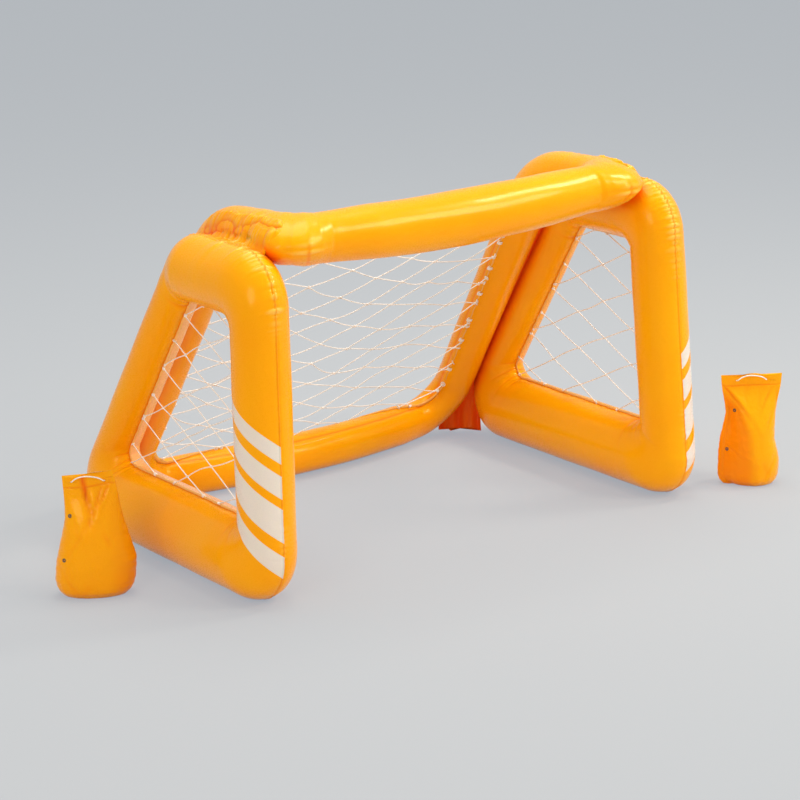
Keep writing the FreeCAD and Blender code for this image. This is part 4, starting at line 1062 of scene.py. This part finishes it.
cup_profile = [(0.0235, -0.0014), (0.0225, 0.0002), (0.0205, 0.0012), (0.0160, 0.0014), (0.0132, 0.0016),
               (0.0122, 0.0008), (0.0119, -0.002), (0.0119, -0.0125), (0.0112, -0.0136), (0.006, -0.0137)]
for name, seat in (*valve_seats.items(), ("rear", tuple(rear_seat))):
    count = 72
    turns = np.linspace(0, 2 * np.pi, count, endpoint=False)
    rows = []
    for number, (radius, lift) in enumerate(cup_profile + [(r + 0.0002 if r < 0.02 else r - 0.001, h - 0.0022)
                                                           for r, h in cup_profile[::-1]]):
        first, second = radius * np.cos(turns), radius * np.sin(turns)
        drop = seat_height(name, first, second) if radius > 0.0125 else seat_height(name, 0 * first, 0 * second)
        pucker = 0.00035 * np.sin(turns * 18) * (0.014 < radius < 0.021)
        out = lift + drop + pucker
        if name == "rear":
            rows.append(np.stack([seat[0] + first, seat[1] + out, seat[2] + second], 1))
        else:
            rows.append(np.stack([seat[0] + out, seat[1] + first, seat[2] + second], 1))
    piece = skin(name + "_valve_cup", np.stack(rows), loop_vinyl, {"deep_tone_and_shade": 0.12}, wraps=False)
    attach(piece, "goal")
    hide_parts(name + "_valve_collar")

# Valves: soft moulded vinyl, a little paler and duller than the sheet.
valve_finish = mottled("moulded_valve", ((0.86, 0.42, 0.06), (0.93, 0.52, 0.11)), (90.0, 3.0), (0.35, 0.5), 0.3,
                       0.0004)
for name in ("left", "right", "rear"):
    for part in ("_valve_stem", "_valve_plug"):
        carried = bpy.data.objects[name + part]
        carried.data.materials.clear()
        carried.data.materials.append(valve_finish)


# Anchor bags: each is a water-filled pouch of two soft orange vinyl sheets, welded flat above the water into a
# header that the carrying cord passes through. The skin is slack, so it folds below the header and sags.
# Base tone, a lighter tone mixed in at random, and the deep red used for the header weld and as painted shade.
bag_tones = ((0.94, 0.352, 0.002), (0.96, 0.450, 0.004), (0.88, 0.105, 0.002))
bag_vinyl, tree, group, shader = vinyl("soft_bag_vinyl", bag_tones, 2.0, 22.0, 0.004)
bag_levels = np.array([(0.0, 0.060, 0.030), (0.02, 0.0705, 0.0405), (0.06, 0.0765, 0.0475), (0.12, 0.0800, 0.0508),
                       (0.30, 0.0825, 0.0520), (0.45, 0.0805, 0.0490), (0.60, 0.0775, 0.0430),
                       (0.74, 0.0765, 0.0320),
                       (0.85, 0.0775, 0.0200), (0.93, 0.0795, 0.0090), (1.0, 0.0812, 0.0032)])
pouch_height, bag_height = 0.255, 0.285
rubber = mottled("dark_grommet", ((0.03, 0.03, 0.035), (0.10, 0.10, 0.11)), (300.0, 2.0), (0.35, 0.55), 0.3, 0.0002)
bag_sides = {"left": ((0, 0.04, 0.093, 0.133, 0.187, 0.25, 0.285), (1.03, 1.07, 0.97, 0.87, 0.74, 0.70, 0.72),
                      (1.12, 1.20, 1.22, 1.12, 0.98, 0.80, 0.68)),
             "right": ((0, 0.03, 0.06, 0.12, 0.19, 0.245, 0.285), (1.05, 1.04, 1.00, 0.97, 0.83, 0.91, 0.96),
                       (0.86, 0.88, 0.88, 0.74, 0.82, 0.91, 0.96))}
for name, place in bag_places.items():
    chance = np.random.default_rng(81 if name == "left" else 97)
    around, rows = 120, 150
    turns = np.linspace(0, 2 * np.pi, around, endpoint=False)
    turns = turns - 0.22 * np.sin(2 * turns)
    heights = np.concatenate([np.linspace(0, pouch_height, rows),
                              np.linspace(pouch_height + 0.001, bag_height, 24)])
    share = np.clip(heights / pouch_height, 0, 1)
    half_width = np.interp(share, bag_levels[:, 0], bag_levels[:, 1])
    half_depth = np.interp(share, bag_levels[:, 0], bag_levels[:, 2])
    kernel = np.ones(13) / 13
    half_width = np.convolve(np.pad(half_width, 6, "edge"), kernel, "valid")
    half_depth = np.convolve(np.pad(half_depth, 6, "edge"), kernel, "valid")
    half_depth = np.where(heights > pouch_height, 0.0013, half_depth)
    half_width[0] *= 0.90
    square = 0.80
    cosine, sine = np.cos(turns), np.sin(turns)
    x = np.sign(cosine) * np.abs(cosine) ** square
    y = np.sign(sine) * np.abs(sine) ** (square + 0.15)
    grid = np.zeros((len(heights), around, 3))
    grid[..., 0] = half_width[:, None] * x
    grid[..., 1] = half_depth[:, None] * y
    grid[..., 2] = heights[:, None]
    up = heights[:, None]
    front = np.clip(-y, 0, 1)[None, :]
    wide = grid[..., 0]
    full = np.clip(1 - np.abs(share * 2 - 1) ** 3, 0, 1)[:, None]
    deep_tone_and_shade = np.zeros(grid.shape[:2])
    dent = np.zeros(grid.shape[:2])
    creases = []
    for number in range(14):
        high = chance.uniform(0.5, 1.0) if number % 3 else chance.uniform(0.02, 0.25)
        creases.append((chance.uniform(-0.075, 0.075), high * pouch_height, chance.uniform(-0.7, 0.7),
                        chance.uniform(0.014, 0.040), chance.uniform(0.0030, 0.006), chance.uniform(0.0008, 0.0022),
                        chance.choice((-1, 1))))
    if name == "left":
        creases += [(-0.014, 0.262, 0.24, 0.050, 0.0075, 0.0190, -1),
                    (0.026, 0.232, -0.55, 0.030, 0.0045, 0.0050, -1),
                    (0.042, 0.236, -0.80, 0.030, 0.0040, 0.0040, -1),
                    (0.004, 0.190, -0.45, 0.022, 0.0050, 0.0040, -1),
                    (0.010, 0.22, 0.1, 0.060, 0.006, 0.0050, 1)]
    else:
        creases += [(-0.058, 0.236, 0.80, 0.065, 0.0050, 0.0045, -1),
                    (0.040, 0.222, -0.55, 0.028, 0.0040, 0.0030, -1),
                    (-0.040, 0.085, 1.6, 0.020, 0.0040, 0.0026, -1), (0.030, 0.20, -0.3, 0.070, 0.006, 0.0050, 1)]
    for across, high, lean, long, thin, deep, way in creases:
        facing = np.clip(y * way * 3, 0, 1)[None, :]
        reach = np.exp(-((up - high) / long) ** 2)
        cut = np.exp(-((wide - across - lean * (high - up)) / thin) ** 2) * reach * facing
        lift = np.exp(-((wide - across - lean * (high - up) - 2.2 * thin) / (1.6 * thin)) ** 2) * reach * facing
        dent += deep * (0.45 * lift - cut)
        # Painted shade: the deep red tone is laid along each crease, strongest in the deep ones.
        deep_tone_and_shade = np.maximum(deep_tone_and_shade, (0.95 if deep > 0.01 else 0.40) * cut * min(1.0, deep / 0.004))
    if name == "left":
        turned_away = np.clip((wide - 0.030) / 0.05, 0, 1) * np.clip(1.2 - up / 0.20, 0, 1)
    else:
        ridge = np.interp(heights, (0, 0.05, 0.14, 0.20, 0.25), (0.004, 0.006, -0.004, -0.026, -0.062))[:, None]
        turned_away = np.clip((ridge - wide) / 0.055, 0, 1) * np.clip((0.25 - up) / 0.05, 0, 1)
        dent -= 0.020 * turned_away * np.clip(-y * 3, 0, 1)[None, :]
        turned_away = np.clip(turned_away * 3, 0, 1)
    # Painted shade: one side of the bag's lower part goes deep red on its front and sides; on the right bag that
    # side is also pushed in.
    deep_tone_and_shade = np.maximum(deep_tone_and_shade, 0.42 * turned_away * np.clip(-y * 3 + 0.6, 0, 1)[None, :])
    edge_away = (np.abs(np.abs(wide) - half_width[:, None])) * 1.4
    side_gather = gathers(heights, edge_away, 0.022, 0.020, 83) * 0.0014
    dent += side_gather
    foot_away = np.broadcast_to(up, grid.shape[:2])
    ring_run = np.cumsum(np.hypot(np.diff(np.append(grid[20, :, 0], grid[20, 0, 0])),
                                  np.diff(np.append(grid[20, :, 1], grid[20, 0, 1]))))
    ring_run = np.concatenate([[0], ring_run[:-1]])
    dent += gathers(ring_run, foot_away.T, 0.019, 0.022, 84).T * 0.0018 * np.clip(up / 0.01, 0, 1)
    dent *= np.clip(half_depth[:, None] / 0.012, 0.10, 1)
    grid[..., 1] += np.sign(y)[None, :] * dent * np.clip(np.abs(y) * 1.6, 0, 1)[None, :]
    grid[..., 0] += np.sign(x)[None, :] * dent * np.clip(np.abs(x) - 0.45, 0, 1)[None, :]
    head = np.clip((heights - 0.225) / 0.06, 0, 1)[:, None]
    grid[..., 1] += head * 0.0042 * np.sin(wide / 0.021 + (0.4 if name == "left" else 2.2))
    heights_at, less, more = bag_sides[name]
    grid[..., 0] *= np.where(wide < 0, np.interp(heights, heights_at, less)[:, None],
                             np.interp(heights, heights_at, more)[:, None])
    if name == "left":
        grid[..., 2] += 0.012 * np.clip(wide / 0.05, 0, 1) * np.clip((heights - 0.20) / 0.085, 0, 1)[:, None]
    grid[..., 2] += 0.0022 * np.sin(wide / 0.013 + 1.0) * head * (heights > 0.27)[:, None]
    grid[..., 2] = np.maximum(grid[..., 2], 0.0)
    weld = np.exp(-((heights - pouch_height - 0.003) / 0.0022) ** 2)[:, None]
    deep_tone_and_shade = np.maximum(deep_tone_and_shade, 0.35 * weld)
    turn = np.array(place.to_3x3())
    points = grid @ turn.T + np.array(place.translation)
    piece = skin(name + "_anchor_bag", points, bag_vinyl, {"deep_tone_and_shade": deep_tone_and_shade}, wraps=False)
    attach(piece, name + "_bag")
    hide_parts(name + "_bag_pouch", name + "_bag_header")

    # Drain eyelets: two small dark grommets, one above the other on the bag's left side.
    search = BVHTree.FromPolygons([tuple(vertex.co) for vertex in piece.data.vertices],
                                  [tuple(face.vertices) for face in piece.data.polygons])
    rings = []
    for across, height in ((-0.062, 0.095), (-0.044, 0.196)):
        start = place @ Vector((across, -0.2, height))
        spot, normal, _, _ = search.ray_cast(start, place.to_3x3() @ Vector((0, 1, 0)))
        first = normal.orthogonal().normalized()
        second = normal.cross(first)
        profile_spots = [(0.0012, -0.001), (0.0014, 0.0002), (0.0022, 0.0011), (0.0034, 0.0013), (0.0044, 0.0008),
                         (0.0047, -0.0008), (0.0030, -0.0020)]
        turns_small = np.linspace(0, 2 * math.pi, 28, endpoint=False)
        ring = [[tuple(spot + first * (radius * math.cos(angle)) + second * (radius * math.sin(angle))
                       + normal * lift) for radius, lift in profile_spots] for angle in turns_small]
        rings.append(np.array(ring))
    eyes = [skin("%s_eyelet_%d" % (name, number), ring, rubber) for number, ring in enumerate(rings)]
    for eye in eyes:
        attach(eye, name + "_bag")
    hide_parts(name + "_bag_eyelets")
